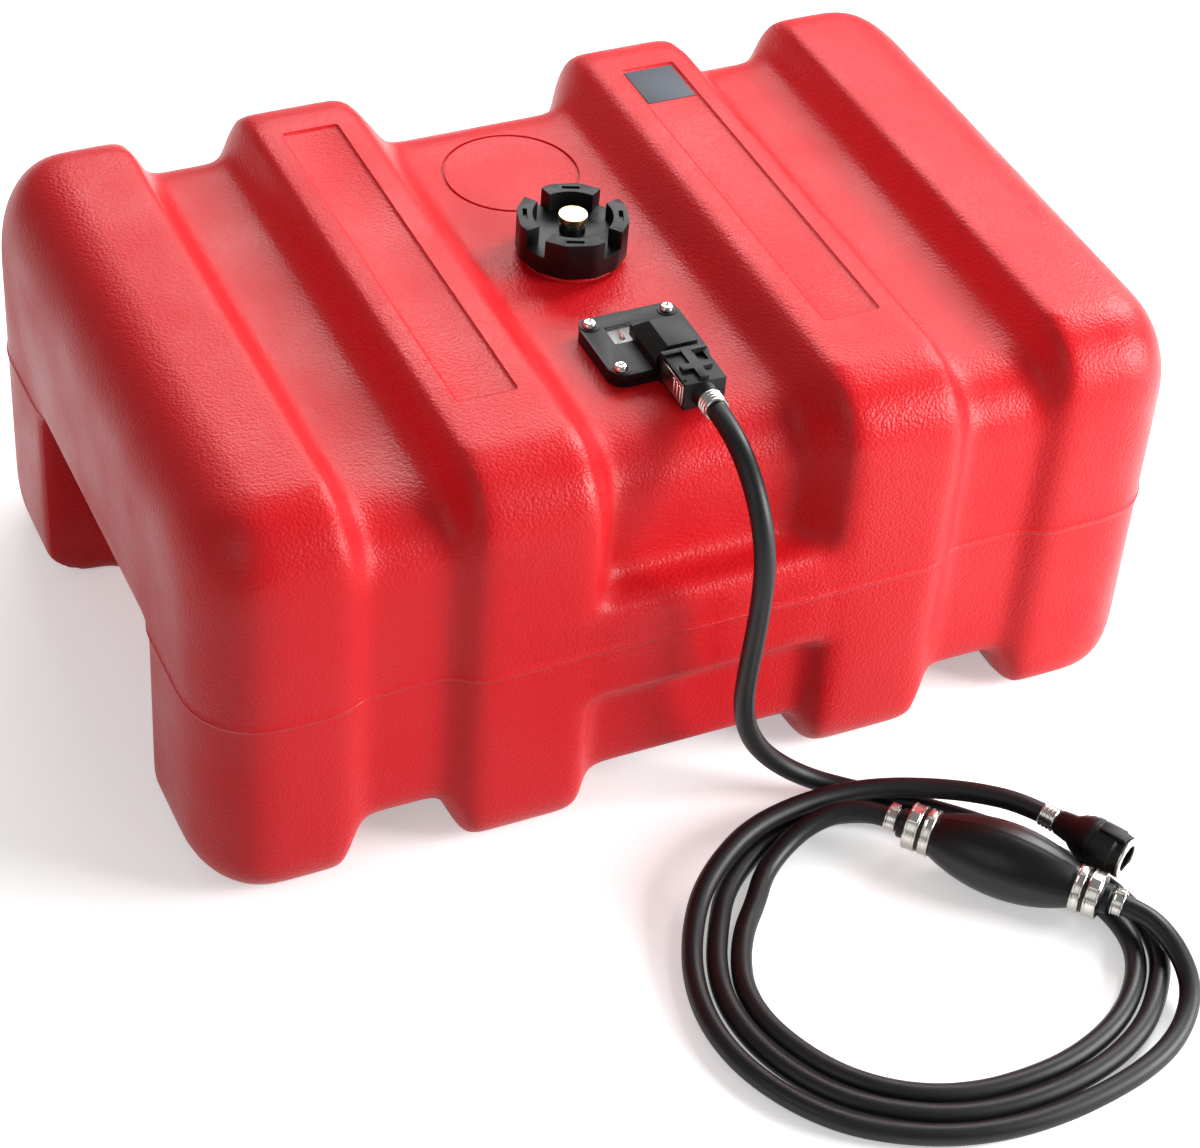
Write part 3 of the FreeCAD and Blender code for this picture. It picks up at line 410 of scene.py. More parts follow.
@dataclass(frozen=True)
class Axis:
    """A level axis.

    Attributes:
        origin: where it starts.
        turn: its heading in degrees.
    """

    origin: Point
    turn: float

    def at(self, reach: float) -> Point:
        """Gives the point that lies a distance from the origin.

        Args:
            reach: that distance, below zero for behind the origin.

        Returns:
            The point.
        """
        heading = math.radians(self.turn)
        x, y, z = self.origin
        return (x + reach * math.cos(heading), y + reach * math.sin(heading), z)

    def matrix(self) -> Matrix:
        """Gives the move that takes X through the origin to this axis, in metres."""
        return (Matrix.Translation(Vector(self.origin) * MM)
                @ Matrix.Rotation(math.radians(self.turn), 4, "Z"))


BULB_AXIS = Axis((133.0, -352.0, 24.6), -49.7)
ENGINE_AXIS = Axis((181.0, -346.0, 29.0), -61.5)


@dataclass
class FuelLine:
    """The hoses, drawn along the same route points as the frame's."""

    materials: MaterialLibrary
    diameter: float = 12.6
    # Height of the hose's middle where it lies on the ground and its point gives none
    lying: float = 6.6
    # Where the hose meets the tank's connector
    exit: Point = (8.0, -163.5, 262.0)
    # From the bulb's middle to the hose's end, and how far the hose runs straight there
    bulb_end: float = 66.0
    straight: float = 19.0
    # Behind the engine connector's origin: the last bend and the hose's end
    engine_bend: float = 31.0
    engine_end: float = 8.0
    drop: Route = (
        (8, -190.5, 262), (8, -216.5, 251.3), (8.3, -236.3, 231.5), (8.6, -246, 205.6),
        (9, -246, 177), (9.2, -243.5, 148), (9.5, -240, 119.5), (11, -236.5, 92.5),
        (16, -234, 68), (27, -232.5, 45), (44, -233.5, 25.3), (64, -240, 12.2),
        (86, -251.5, 6.6), (105.5, -268, 6.6))
    loops: Route = (
        (125, -284.5), (143, -302), (160, -321.5), (175, -343), (187.5, -367), (195.5, -392.5),
        (197, -418), (190, -441.5), (174.5, -462), (156, -479.5), (132.5, -492.5),
        (106, -500.5), (77.5, -504.5), (47.5, -504), (19, -498), (-7.5, -485), (-32, -466),
        (-49.5, -440.5), (-60, -411), (-62, -380.5), (-55, -352.5), (-41.5, -327), (-24, -300),
        (2, -280), (30, -268.5), (60, -265), (87, -272), (108, -289.5), (127, -308),
        (145, -327), (161, -347), (173, -369), (181.5, -392.5), (183, -417), (175.5, -438.5),
        (161, -456.5), (143, -471), (121, -481.5), (95.5, -488.5), (68.5, -490.5), (42, -489),
        (16, -481.5), (-7, -468), (-26, -449), (-39.5, -425), (-47.5, -399.5), (-47.5, -374.5),
        (-39.5, -352.5), (-27, -332), (-11, -315, 6.8), (2.5, -297.5, 8.4), (21, -285.5, 12.4),
        (40, -279, 18), (60, -279, 22.6))
    back: Route = (
        (194, -433.5, 22.3), (195.5, -452, 17.5), (191.5, -470, 12), (178.5, -486, 8),
        (159.5, -499.5), (135.5, -509), (108, -515), (78, -518.5), (47.5, -518), (17, -512),
        (-12.5, -499.5), (-40, -480.5), (-61, -453), (-74.5, -420.5), (-77.5, -387),
        (-71, -354.5, 7), (-58.5, -327, 10), (-42, -303.5, 15), (-20, -286, 19.5),
        (5, -272, 20.8), (34, -265, 21), (65, -263.5, 21), (95, -268.5, 21), (122, -280, 22),
        (146, -296.5, 25))

    def lifted(self, points: Route) -> Route:
        """Adds the height of a hose on the ground where a point gives none."""
        return tuple(point if len(point) > 2 else (*point, self.lying) for point in points)

    def hose(self, name: str, points: Route) -> bpy.types.Object:
        """Draws one hose as a round NURBS curve.

        Args:
            name: the piece's name.
            points: its route.

        Returns:
            The curve object.
        """
        data = bpy.data.curves.new(name, "CURVE")
        data.dimensions = "3D"
        data.bevel_depth = mm(self.diameter / 2)
        data.bevel_resolution = 6
        data.resolution_u = 6
        data.use_fill_caps = True
        spline = data.splines.new("NURBS")
        spline.points.add(len(points) - 1)
        for spot, point in zip(spline.points, points):
            spot.co = (*(Vector(point) * MM), 1)
        spline.order_u = 3
        spline.use_endpoint_u = True
        hose = bpy.data.objects.new(name, data)
        bpy.context.scene.collection.objects.link(hose)
        data.materials.append(self.materials.get(Slot.HOSE))
        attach(hose, "tank")
        log.info("%s: %d route points", name, len(points))
        return hose

    def build(self) -> None:
        outer = self.bulb_end + self.straight
        supply = self.hose("supply_hose", (
            self.exit, *self.drop, *self.lifted(self.loops),
            BULB_AXIS.at(-outer), BULB_AXIS.at(-self.bulb_end)))
        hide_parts("tank_hose", "hose_loops")
        bulb_exit = BULB_AXIS.at(self.bulb_end)
        engine = self.hose("engine_line", (
            bulb_exit, BULB_AXIS.at(outer), *self.lifted(self.back),
            ENGINE_AXIS.at(-self.engine_bend), ENGINE_AXIS.at(-self.engine_end)))
        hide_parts("engine_hose")


class Kit:
    """Modelling steps that the pieces share; sizes in millimetres."""

    @staticmethod
    def only(item: bpy.types.Object) -> None:
        """Makes one object the selected and active one.

        Args:
            item: the object.
        """
        if bpy.context.object and bpy.context.object.mode != "OBJECT":
            bpy.ops.object.mode_set(mode="OBJECT")
        bpy.ops.object.select_all(action="DESELECT")
        item.select_set(True)
        bpy.context.view_layer.objects.active = item

    @staticmethod
    def leave() -> None:
        """Goes back to object mode."""
        bpy.ops.object.mode_set(mode="OBJECT")

    @classmethod
    def block(cls, name: str, low: Point, high: Point) -> bpy.types.Object:
        """Adds a box from its two corners.

        Args:
            name: the object's name.
            low: lowest corner.
            high: highest corner.

        Returns:
            The box, its object at the origin.
        """
        bpy.ops.object.select_all(action="DESELECT")
        bpy.ops.mesh.primitive_cube_add(size=1)
        item = bpy.context.object
        item.name = name
        bpy.ops.object.mode_set(mode="EDIT")
        bpy.ops.mesh.select_all(action="SELECT")
        bpy.ops.transform.resize(value=[mm(b - a) for a, b in zip(low, high)])
        bpy.ops.transform.translate(value=[mm((a + b) / 2) for a, b in zip(low, high)])
        cls.leave()
        return item

    @staticmethod
    def drum(name: str, centre: Point, radius: float, depth: float, sides: int = 64,
             top: Optional[float] = None, axis: Point = (0, 0, 1)) -> bpy.types.Object:
        """Adds a cylinder or a frustum whose base is at centre.

        Args:
            name: the object's name.
            centre: middle of its base.
            radius: base radius.
            depth: its length along the axis.
            sides: facets round it.
            top: radius of the far end, the same as the base if None.
            axis: where it points.

        Returns:
            The solid, its object at the origin.
        """
        bpy.ops.object.select_all(action="DESELECT")
        bpy.ops.mesh.primitive_cone_add(vertices=sides, radius1=mm(radius),
                                        radius2=mm(radius if top is None else top),
                                        depth=mm(depth))
        item = bpy.context.object
        item.name = name
        turn = Vector(axis).to_track_quat("Z", "Y").to_matrix().to_4x4()
        item.data.transform(Matrix.Translation(Vector(centre) * MM) @ turn
                            @ Matrix.Translation((0, 0, mm(depth / 2))))
        return item

    @classmethod
    def sketch(cls, name: str, corners: Sequence[Point]) -> bpy.types.Object:
        """Draws a closed loop of edges and goes into edit mode with all of it selected.

        Args:
            name: the object's name.
            corners: the loop's corners in order.

        Returns:
            The object.
        """
        mesh = bpy.data.meshes.new(name)
        mesh.from_pydata([tuple(mm(part) for part in corner) for corner in corners],
                         [(index, (index + 1) % len(corners)) for index in range(len(corners))],
                         [])
        item = bpy.data.objects.new(name, mesh)
        bpy.context.scene.collection.objects.link(item)
        cls.pick(item, Part.EDGES, lambda *ends: True)
        return item

    @classmethod
    def lathe(cls, name: str, outline: Outline, axis: Axis, steps: int = 64) -> bpy.types.Object:
        """Spins an outline about a level axis.

        Args:
            name: the object's name.
            outline: (along, radius) points, closed on themselves.
            axis: what it is spun about.
            steps: facets round it.

        Returns:
            The solid, its object at the origin.
        """
        item = cls.sketch(name, [(along, 0, radius) for along, radius in outline])
        bpy.ops.mesh.spin(steps=steps, angle=math.tau, center=(0, 0, 0), axis=(1, 0, 0))
        bpy.ops.mesh.select_all(action="SELECT")
        bpy.ops.mesh.remove_doubles(threshold=mm(0.01))
        bpy.ops.mesh.dissolve_degenerate(threshold=mm(0.005))
        bpy.ops.mesh.select_all(action="SELECT")
        bpy.ops.mesh.normals_make_consistent(inside=False)
        cls.leave()
        return cls.place(item, axis)

    @staticmethod
    def place(item: bpy.types.Object, axis: Axis, roll: float = 0.0) -> bpy.types.Object:
        """Rolls a mesh about X by roll degrees and then moves X onto an axis."""
        item.data.transform(axis.matrix() @ Matrix.Rotation(math.radians(roll), 4, "X"))
        return item

    @classmethod
    def pick(cls, item: bpy.types.Object, part: Part, test: Callable[..., bool]) -> None:
        """Selects the parts of a mesh that pass a test, and enters edit mode.

        Args:
            item: the mesh object.
            part: whether corners, edges or faces are tested.
            test: takes every corner of one such part in millimetres.
        """
        cls.only(item)
        bpy.ops.object.mode_set(mode="EDIT")
        bpy.ops.mesh.select_mode(type=part.value)
        bpy.ops.mesh.select_all(action="DESELECT")
        cls.leave()
        mesh = item.data
        spots = [corner.co / MM for corner in mesh.vertices]
        for corner, spot in zip(mesh.vertices, spots):
            corner.select = part is Part.CORNERS and test(spot)
        for kind, group in ((Part.EDGES, mesh.edges), (Part.FACES, mesh.polygons)):
            for piece in group:
                piece.select = part is kind and test(*(spots[index] for index in piece.vertices))
        bpy.ops.object.mode_set(mode="EDIT")

    @classmethod
    def round_edges(cls, item: bpy.types.Object, width: float, segments: int,
                    test: Callable[[Vector, Vector], bool]) -> None:
        """Rounds the edges whose two ends pass a test.

        Args:
            item: the mesh object.
            width: how far the rounding reaches.
            segments: steps across it.
            test: takes both ends in millimetres.
        """
        cls.pick(item, Part.EDGES, test)
        bpy.ops.mesh.bevel(offset=mm(width), segments=segments)
        cls.leave()

    @classmethod
    def slice(cls, item: bpy.types.Object, heights: Sequence[float]) -> None:
        """Adds edge loops where level planes cut a mesh.

        Args:
            item: the mesh object.
            heights: where the planes lie.
        """
        cls.only(item)
        bpy.ops.object.mode_set(mode="EDIT")
        for height in heights:
            bpy.ops.mesh.select_all(action="SELECT")
            bpy.ops.mesh.bisect(plane_co=(0, 0, mm(height)), plane_no=(0, 0, 1))
        cls.leave()

    @classmethod
    def apply(cls, item: bpy.types.Object, kind: str, **settings: object) -> None:
        """Adds one modifier and applies it.

        Args:
            item: the mesh object.
            kind: the modifier's type.
            settings: its properties.
        """
        cls.only(item)
        modifier = item.modifiers.new(kind.lower(), kind)
        for name, value in settings.items():
            setattr(modifier, name, value)
        bpy.ops.object.modifier_apply(modifier=modifier.name)

    @classmethod
    def bevel(cls, item: bpy.types.Object, width: float, segments: int = 2,
              angle: float = 30.0) -> bpy.types.Object:
        """Rounds every edge sharper than an angle.

        Args:
            item: the mesh object.
            width: how far the rounding reaches.
            segments: steps across it.
            angle: the least angle that counts, in degrees.

        Returns:
            The same object.
        """
        cls.apply(item, "BEVEL", width=mm(width), segments=segments, limit_method="ANGLE",
                  angle_limit=math.radians(angle), use_clamp_overlap=True)
        return item

    @classmethod
    def combine(cls, item: bpy.types.Object, others: Sequence[bpy.types.Object],
                merge: Merge = Merge.CUT) -> bpy.types.Object:
        """Cuts others out of an object, or adds them to it, and removes them.

        Args:
            item: the mesh object that stays.
            others: the tools.
            merge: whether they are cut out or added.

        Returns:
            The same object.
        """
        for other in others:
            cls.apply(item, "BOOLEAN", operation=merge.value, object=other, solver="EXACT")
            bpy.data.objects.remove(other, do_unlink=True)
        return item

    @classmethod
    def join(cls, name: str, items: Sequence[bpy.types.Object]) -> bpy.types.Object:
        """Joins meshes into one object without merging them.

        Args:
            name: the result's name.
            items: two or more mesh objects.

        Returns:
            The first object, which now holds them all.
        """
        cls.only(items[0])
        for item in items[1:]:
            item.select_set(True)
        bpy.ops.object.join()
        items[0].name = name
        items[0].data.name = name
        return items[0]

    @classmethod
    def finish(cls, item: bpy.types.Object, material: bpy.types.Material, body: Body,
               slot: Slot, nodes: Sequence[str] = (), smooth: float = 35.0) -> None:
        """Gives a piece its material, its body and the nodes it stands for.

        Args:
            item: the piece.
            material: its material.
            body: the frame's body that carries it.
            slot: the record's slot; not used.
            nodes: nodes that it replaces.
            smooth: edges flatter than this are shaded smooth, in degrees.
        """
        cls.only(item)
        bpy.ops.object.shade_smooth_by_angle(angle=math.radians(smooth))
        item.data.materials.clear()
        item.data.materials.append(material)
        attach(item, body.value)
        if nodes:
            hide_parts(*nodes)
        log.info("%s: %d faces", item.name, len(item.data.polygons))


def upright(first: Vector, last: Vector) -> bool:
    """Tells whether an edge climbs from one end to the other."""
    return abs(first.z - last.z) > 1


@dataclass
class TankMoulding:
    """The blow-moulded tank: soft ribs and valleys, hand grips, label fields and seam."""

    materials: MaterialLibrary
    # Extent of the moulding
    half_length: float = 310.0
    half_depth: float = 213.6
    height: float = 273.4
    # Where slopes begin and end along X, from the middle valley to the end rib
    centre: float = 60.0
    rib_in: float = 80.0
    rib_out: float = 148.0
    valley_in: float = 162.0
    valley_out: float = 212.0
    end_rib: float = 226.0
    # How far the valleys, the middle and the end ribs stand back from the ribs
    valley_drop: float = 24.8
    valley_lift: float = 30.0
    valley_depth: float = 11.6
    centre_depth: float = 27.6
    end_depth: float = 3.6
    # Radii of the rims, and into how many steps a quarter of them is cut
    top_roll: float = 44.0
    low_roll: float = 25.0
    rim_steps: int = 9
    corner_steps: int = 10
    # Shelf, ramp behind it and lower panel (half width, half depth, top) between the middle
    # ribs; a span is the lowest and the highest point
    shelf_half: float = 74.0
    shelf_span: Pair = (97.0, 168.0)
    shelf_round: float = 9.0
    ramp_inset: float = 12.0
    ramp_span: Pair = (120.0, 182.0)
    ramp_top_depth: float = 182.0
    panel: Point = (80.0, 202.0, 160.0)
    # Hand grips: X from and to, half width, lowest point of the tool, rounding
    grip_span: Pair = (252.0, 340.0)
    grip_half: float = 104.0
    grip_low: float = -40.0
    grip_round: float = 22.0
    # Label fields on the middle ribs and the ring in the middle valley
    label_x: Pair = (95.8, 134.9)
    label_y: Pair = (-131.5, 156.9)
    label_sink: float = 1.4
    label_round: float = 3.0
    tool_top: float = 290.0
    ring_y: float = 104.8
    ring_radii: Pair = (43.5, 41.4)
    ring_sink: float = 1.6
    # Filler neck: bore, wall and foot
    neck_y: float = 12.0
    neck_bore: float = 21.0
    neck_radius: float = 27.0
    neck_depth: float = 14.4
    neck_sink: float = 2.0
    foot_radius: float = 32.0
    foot_depth: float = 5.0
    neck_round: float = 0.6
    # Seam: its height, the loops beside it, how far each of its two steps reaches and rises
    seam: float = 137.5
    seam_loops: tuple[float, ...] = (0.5, 1.4, 2.4)
    seam_steps: Pair = (1.5, 0.6)
    seam_lift: float = 0.45
    # How creases are softened, and the angle under which the moulding is shaded smooth
    voxel: float = 3.9
    smooth_rounds: int = 14
    smooth_angle: float = 30.0

    @property
    def valley_floor(self) -> float:
        """Height of the middle valley's floor."""
        return self.height - self.valley_drop

    def outline(self) -> list[Point]:
        """Gives the cross-section of a rib: a rectangle with rolled corners.

        Returns:
            Points in order round the section, at X = 0.
        """
        points = []
        for quarter, (side, end) in enumerate(((1, 1), (-1, 1), (-1, -1), (1, -1))):
            roll = self.top_roll if end > 0 else self.low_roll
            y = side * (self.half_depth - roll)
            z = self.height - roll if end > 0 else roll
            for step in range(self.corner_steps + 1):
                angle = math.radians(90 * quarter + 90 * step / self.corner_steps)
                points.append((0.0, y + roll * math.cos(angle), z + roll * math.sin(angle)))
        return points

    def stations(self) -> list[tuple[float, float, float, float]]:
        """Gives what the section does along the tank's right half.

        Returns:
            Place along X, half depth, lowest and highest point, from the middle to the end.
        """
        rib = (self.half_depth, 0.0, self.height)
        span = (self.valley_lift, self.valley_floor)
        centre = (self.half_depth - self.centre_depth, *span)
        valley = (self.half_depth - self.valley_depth, *span)
        end = (self.half_depth - self.end_depth, 0.0, self.height)
        rows = [(0.0, *centre), (self.centre, *centre), (self.rib_in, *rib), (self.rib_out, *rib),
                (self.valley_in, *valley), (self.valley_out, *valley), (self.end_rib, *end)]
        for step in range(self.rim_steps + 1):
            angle = math.radians(90 * step / self.rim_steps)
            bite = self.top_roll * (1 - math.cos(angle))
            rows.append((self.half_length - self.top_roll * (1 - math.sin(angle)), end[0] - bite,
                         self.low_roll * (1 - math.cos(angle)), self.height - bite))
        return rows

    def hull(self) -> bpy.types.Object:
        """Makes the block with its ribs and valleys by drawing the section along X.

        Returns:
            The closed block.
        """
        hull = Kit.sketch("tank_moulding", self.outline())
        last, depth, low, high = 0.0, self.half_depth, 0.0, self.height
        for count, (place, new_depth, new_low, new_high) in enumerate(self.stations()):
            if count:
                bpy.ops.mesh.extrude_edges_move()
            share = (new_high - new_low) / (high - low)
            bpy.ops.transform.resize(value=(1, new_depth / depth, share),
                                     center_override=(0, 0, 0))
            bpy.ops.transform.translate(value=(mm(place - last), 0, mm(new_low - share * low)))
            last, depth, low, high = place, new_depth, new_low, new_high
        bpy.ops.mesh.edge_face_add()
        Kit.leave()
        Kit.apply(hull, "MIRROR", use_axis=(True, False, False), use_mirror_merge=True)
        Kit.pick(hull, Part.FACES, lambda *corners: True)
        bpy.ops.mesh.normals_make_consistent(inside=False)
        Kit.leave()
        return hull

    def bars(self) -> list[bpy.types.Object]:
        """Makes the shelf and the lower panel between the two middle ribs, front and back.

        Returns:
            Closed solids that overlap the block.
        """
        half, depth = self.shelf_half, self.half_depth
        low, high = self.shelf_span
        shelf = Kit.block("shelf", (-half, -depth, low), (half, depth, high))
        Kit.round_edges(shelf, self.shelf_round, 4,
                        lambda first, last: min(first.z, last.z) > high - 1
                        and abs(first.x - last.x) > 1)
        depth -= self.ramp_inset
        low, high = self.ramp_span
        ramp = Kit.block("ramp", (-half, -depth, low), (half, depth, high))
        Kit.pick(ramp, Part.CORNERS, lambda corner: corner.z > (low + high) / 2)
        bpy.ops.transform.resize(value=(1, self.ramp_top_depth / depth, 1),
                                 center_override=(0, 0, 0))
        Kit.leave()
        half, depth, high = self.panel
        panel = Kit.block("lower_panel", (-half, -depth, self.valley_lift), (half, depth, high))
        return [shelf, ramp, panel]

    def grips(self) -> list[bpy.types.Object]:
        """Makes the tools that cut the hand grips.

        Returns:
            One tool for each end.
        """
        tools = []
        for side in (1, -1):
            near, far = sorted(side * place for place in self.grip_span)
            tool = Kit.block("grip", (near, -self.grip_half, self.grip_low),
                             (far, self.grip_half, self.seam))
            Kit.round_edges(tool, self.grip_round, 6,
                            lambda first, last: upright(first, last)
                            and abs(first.x) < self.grip_span[0] + 1)
            tools.append(tool)
        return tools

    def cut_details(self, tank: bpy.types.Object) -> None:
        """Cuts the label fields, the ring and the well under the neck.

        Args:
            tank: the softened tank.
        """
        tools = []
        for side in (1, -1):
            near, far = sorted(side * place for place in self.label_x)
            label = Kit.block("label", (near, self.label_y[0], self.height - self.label_sink),
                              (far, self.label_y[1], self.tool_top))
            tools.append(Kit.bevel(label, self.label_round, 3))
        floor = self.valley_floor
        outer, inner = self.ring_radii
        ring = Kit.drum("ring", (0, self.ring_y, floor - self.ring_sink), outer, 12, 96)
        core = Kit.drum("core", (0, self.ring_y, floor - 3), inner, 20, 96)
        tools.append(Kit.combine(ring, [core]))
        tools.append(Kit.drum("well", (0, self.neck_y, floor - 70), self.neck_bore, 90))
        Kit.combine(tank, tools)

    def raise_seam(self, tank: bpy.types.Object) -> None:
        """Raises the moulding seam round the tank.

        Args:
            tank: the tank.
        """
        Kit.slice(tank, [self.seam + side * reach for reach in self.seam_loops
                         for side in (1, -1)])
        for reach in self.seam_steps:
            Kit.pick(tank, Part.CORNERS, lambda corner: abs(corner.z - self.seam) < reach)
            bpy.ops.transform.shrink_fatten(value=mm(self.seam_lift))
            Kit.leave()

    def neck(self) -> bpy.types.Object:
        """Makes the filler neck on its foot.

        Returns:
            The bored neck.
        """
        foot = (0, self.neck_y, self.valley_floor - self.neck_sink)
        neck = Kit.drum("neck", foot, self.neck_radius, self.neck_depth)
        collar = Kit.drum("collar", foot, self.foot_radius, self.foot_depth,
                          top=self.neck_radius)
        bore = Kit.drum("bore", (0, self.neck_y, self.valley_floor - 20), self.neck_bore, 60)
        Kit.combine(neck, [collar], Merge.ADD)
        return Kit.bevel(Kit.combine(neck, [bore]), self.neck_round)

    def build(self) -> None:
        """Builds the tank."""
        hull = Kit.join("tank_moulding", [self.hull(), *self.bars()])
        remesh = {"mode": "VOXEL", "voxel_size": mm(self.voxel)}
        Kit.apply(hull, "REMESH", **remesh)
        Kit.combine(hull, self.grips())
        Kit.apply(hull, "REMESH", **remesh)
        Kit.apply(hull, "SMOOTH", factor=0.5, iterations=self.smooth_rounds)
        self.cut_details(hull)
        self.raise_seam(hull)
        tank = Kit.join("tank_moulding", [hull, self.neck()])
        Kit.finish(tank, self.materials.get(Slot.TANK), Body.TANK, Slot.TANK, ["tank_shell"],
                   self.smooth_angle)


@dataclass
class Fitting:
    """What the hard sub-assemblies share."""

    materials: MaterialLibrary

    def done(self, item: bpy.types.Object, body: Body, slot: Slot, *nodes: str) -> None:
        """Finishes a piece with its slot's own material, in place of the nodes named."""
        Kit.finish(item, self.materials.get(slot), body, slot, nodes)


@dataclass
class FillerCap(Fitting):
    """The castellated filler cap and the vent's button."""

    base: Point = (0.0, 12.0, 253.0)
    radius: float = 34.5
    depth: float = 24.0
    flats: int = 12
    flat_round: float = 3.2
    # The bore that takes the neck: radius and depth, and how far its tool starts underneath
    bore: Pair = (27.6, 14.5)
    bore_start: float = 5.0
    # Radius and height over the base: bowl inside the grips, seat of the button in its post
    bowl: Pair = (24.5, 12.0)
    seat: Pair = (6.8, 12.6)
    # The vent's post: radius and depth, and its foot over the base
    post: Pair = (8.0, 6.4)
    post_foot: float = 11.0
    stem_hole: float = 3.05
    # Gaps between the grips and the slot in each, at their first turn in degrees
    gap: Box = ((20.0, -9.2, 12.0), (41.0, 9.2, 40.0))
    gap_turn: float = 24.0
    gap_taper: float = 0.49
    slot: Box = ((27.6, -5.4, 21.3), (30.4, 5.4, 40.0))
    slot_turn: float = 69.0
    # Radius, height of its underside, and thickness
    button: Point = (8.8, 273.5, 4.2)
    stem: Point = (3.0, 260.2, 13.6)
    edge_round: float = 0.8
    button_round: float = 0.9

    def tools(self) -> list[bpy.types.Object]:
        """Makes what cuts the cap open.

        Returns:
            The bore, the bowl, and a gap and a slot for each quarter.
        """
        x, y, low = self.base
        tools = [Kit.drum("bore", (x, y, low - self.bore_start), *self.bore, 96),
                 Kit.drum("bowl", (x, y, low + self.bowl[1]), self.bowl[0], 30, 96)]
        for turn in range(0, 360, 90):
            gap = Kit.block("gap", *self.gap)
            Kit.pick(gap, Part.CORNERS, lambda corner: corner.x < self.gap[0][0] + 5)
            bpy.ops.transform.resize(value=(1, self.gap_taper, 1))
            Kit.leave()
            tools += [Kit.place(gap, Axis(self.base, self.gap_turn + turn)),
                      Kit.place(Kit.block("slot", *self.slot),
                                Axis(self.base, self.slot_turn + turn))]
        return tools

    def build(self) -> None:
        """Makes the cap and the button."""
        x, y, low = self.base
        cap = Kit.drum("cap_moulding", self.base, self.radius, self.depth, self.flats)
        Kit.round_edges(cap, self.flat_round, 5, upright)
        Kit.combine(cap, self.tools())
        Kit.combine(cap, [Kit.drum("post", (x, y, low + self.post_foot), *self.post)], Merge.ADD)
        Kit.combine(cap, [Kit.drum("seat", (x, y, low + self.seat[1]), self.seat[0], 20),
                          Kit.drum("hole", self.base, self.stem_hole, 40, 48)])
        self.done(Kit.bevel(cap, self.edge_round, 3, 25), Body.CAP, Slot.BLACK, "filler_cap")
        (radius, under, thick), (thin, foot, length) = self.button, self.stem
        button = Kit.drum("vent_push", (x, y, under), radius, thick, 96)
        Kit.combine(button, [Kit.drum("stem", (x, y, foot), thin, length, 48)], Merge.ADD)
        self.done(Kit.bevel(button, self.button_round, 4), Body.VENT, Slot.BRASS, "vent_button")


@dataclass
class OutletHead(Fitting):
    """The outlet's plate with its hood, gauge pocket and screws."""

    plate: Box = ((-32.0, -121.5, 250.6), (32.0, -63.5, 257.6))
    plate_round: float = 10.0
    hood: Box = ((-7.1, -121.0, 251.3), (19.9, -87.0, 272.1))
    hood_chamfer: float = 8.0
    pocket: Box = ((-18.0, -92.0, 253.0), (-1.0, -75.0, 258.6))
    # Where the screws stand from the plate's middle, in X and Y
    middle_y: float = -92.5
    screw_offset: Pair = (25.0, 22.0)
    # Radius, height of the underside and thickness
    pad: Point = (6.2, 251.0, 7.2)
    screw_head: Point = (4.6, 258.2, 2.6)
    screw_top: float = 3.4
    shank: Point = (2.2, 239.6, 18.0)
    cross: Box = ((-2.6, -0.55, 1.5), (2.6, 0.55, 5.0))
    cross_turn: float = 35.0
    edge_round: float = 1.0
    screw_round: float = 0.7

    def corners(self) -> list[tuple[float, float, int]]:
        """Gives where each screw stands, in X and Y, and 1 for the back or -1 for the front."""
        across, along = self.screw_offset
        return [(across * side, self.middle_y + along * end, end)
                for side in (1, -1) for end in (1, -1)]

    def chamfered(self, first: Vector, last: Vector) -> bool:
        """Tells whether an edge is one of the hood's two chamfered ones.

        Args:
            first: one end.
            last: the other end.

        Returns:
            True for the left and the back edge of its top.
        """
        (left, _, _), (_, back, top) = self.hood
        return min(first.z, last.z) > top - 1 and (
            max(first.x, last.x) < left + 0.1 or min(first.y, last.y) > back - 1)

    def build(self) -> None:
        """Makes the outlet head and its screws."""
        head = Kit.block("outlet_moulding", *self.plate)
        Kit.round_edges(head, self.plate_round, 8, upright)
        hood = Kit.block("hood", *self.hood)
        Kit.round_edges(hood, self.hood_chamfer, 1, self.chamfered)
        radius, under, thick = self.pad
        pads = [Kit.drum("pad", (x, y, under), radius, thick, 48) for x, y, _ in self.corners()]
        Kit.combine(head, [hood, *pads], Merge.ADD)
        Kit.combine(head, [Kit.block("pocket", *self.pocket)])
        self.done(Kit.bevel(head, self.edge_round, 3, 25), Body.TANK, Slot.BLACK, "outlet_head")
        screws = []
        (radius, under, thick), (thin, foot, length) = self.screw_head, self.shank
        for x, y, end in self.corners():
            spot = (x, y, under)
            screw = Kit.drum("screw", spot, radius, thick, 48, self.screw_top)
            Kit.bevel(screw, self.screw_round, 3)
            cross = [Kit.place(Kit.block("cross", *self.cross),
                               Axis(spot, self.cross_turn + turn + 20 * end))
                     for turn in (0, 90)]
            screws += [Kit.combine(screw, cross), Kit.drum("shank", (x, y, foot), thin, length, 24)]
        self.done(Kit.join("outlet_fasteners", screws), Body.TANK, Slot.STEEL, "outlet_screws")


@dataclass
class CrimpedCollar(Fitting):
    """A crimped metal collar round a hose's end; sizes are radii and lengths."""

    name: str
    axis: Axis
    node: str
    length: float = 10.0
    bore: float = 6.4
    edge: float = 7.2
    crest: float = 7.7
    groove: float = 7.1
    rim: float = 0.6

    def build(self) -> None:
        """Makes the collar with its three grooves."""
        outline = [(0, self.bore), (0, self.edge), (self.rim, self.crest)]
        for place in (0.25, 0.5, 0.75):
            outline += [(self.length * place + shift, radius) for shift, radius in (
                (-0.9, self.crest), (-0.5, self.groove), (0.5, self.groove), (0.9, self.crest))]
        outline += [(self.length - self.rim, self.crest), (self.length, self.edge),
                    (self.length, self.bore)]
        self.done(Kit.lathe(self.name, outline, self.axis, 48), Body.TANK, Slot.STEEL, self.node)


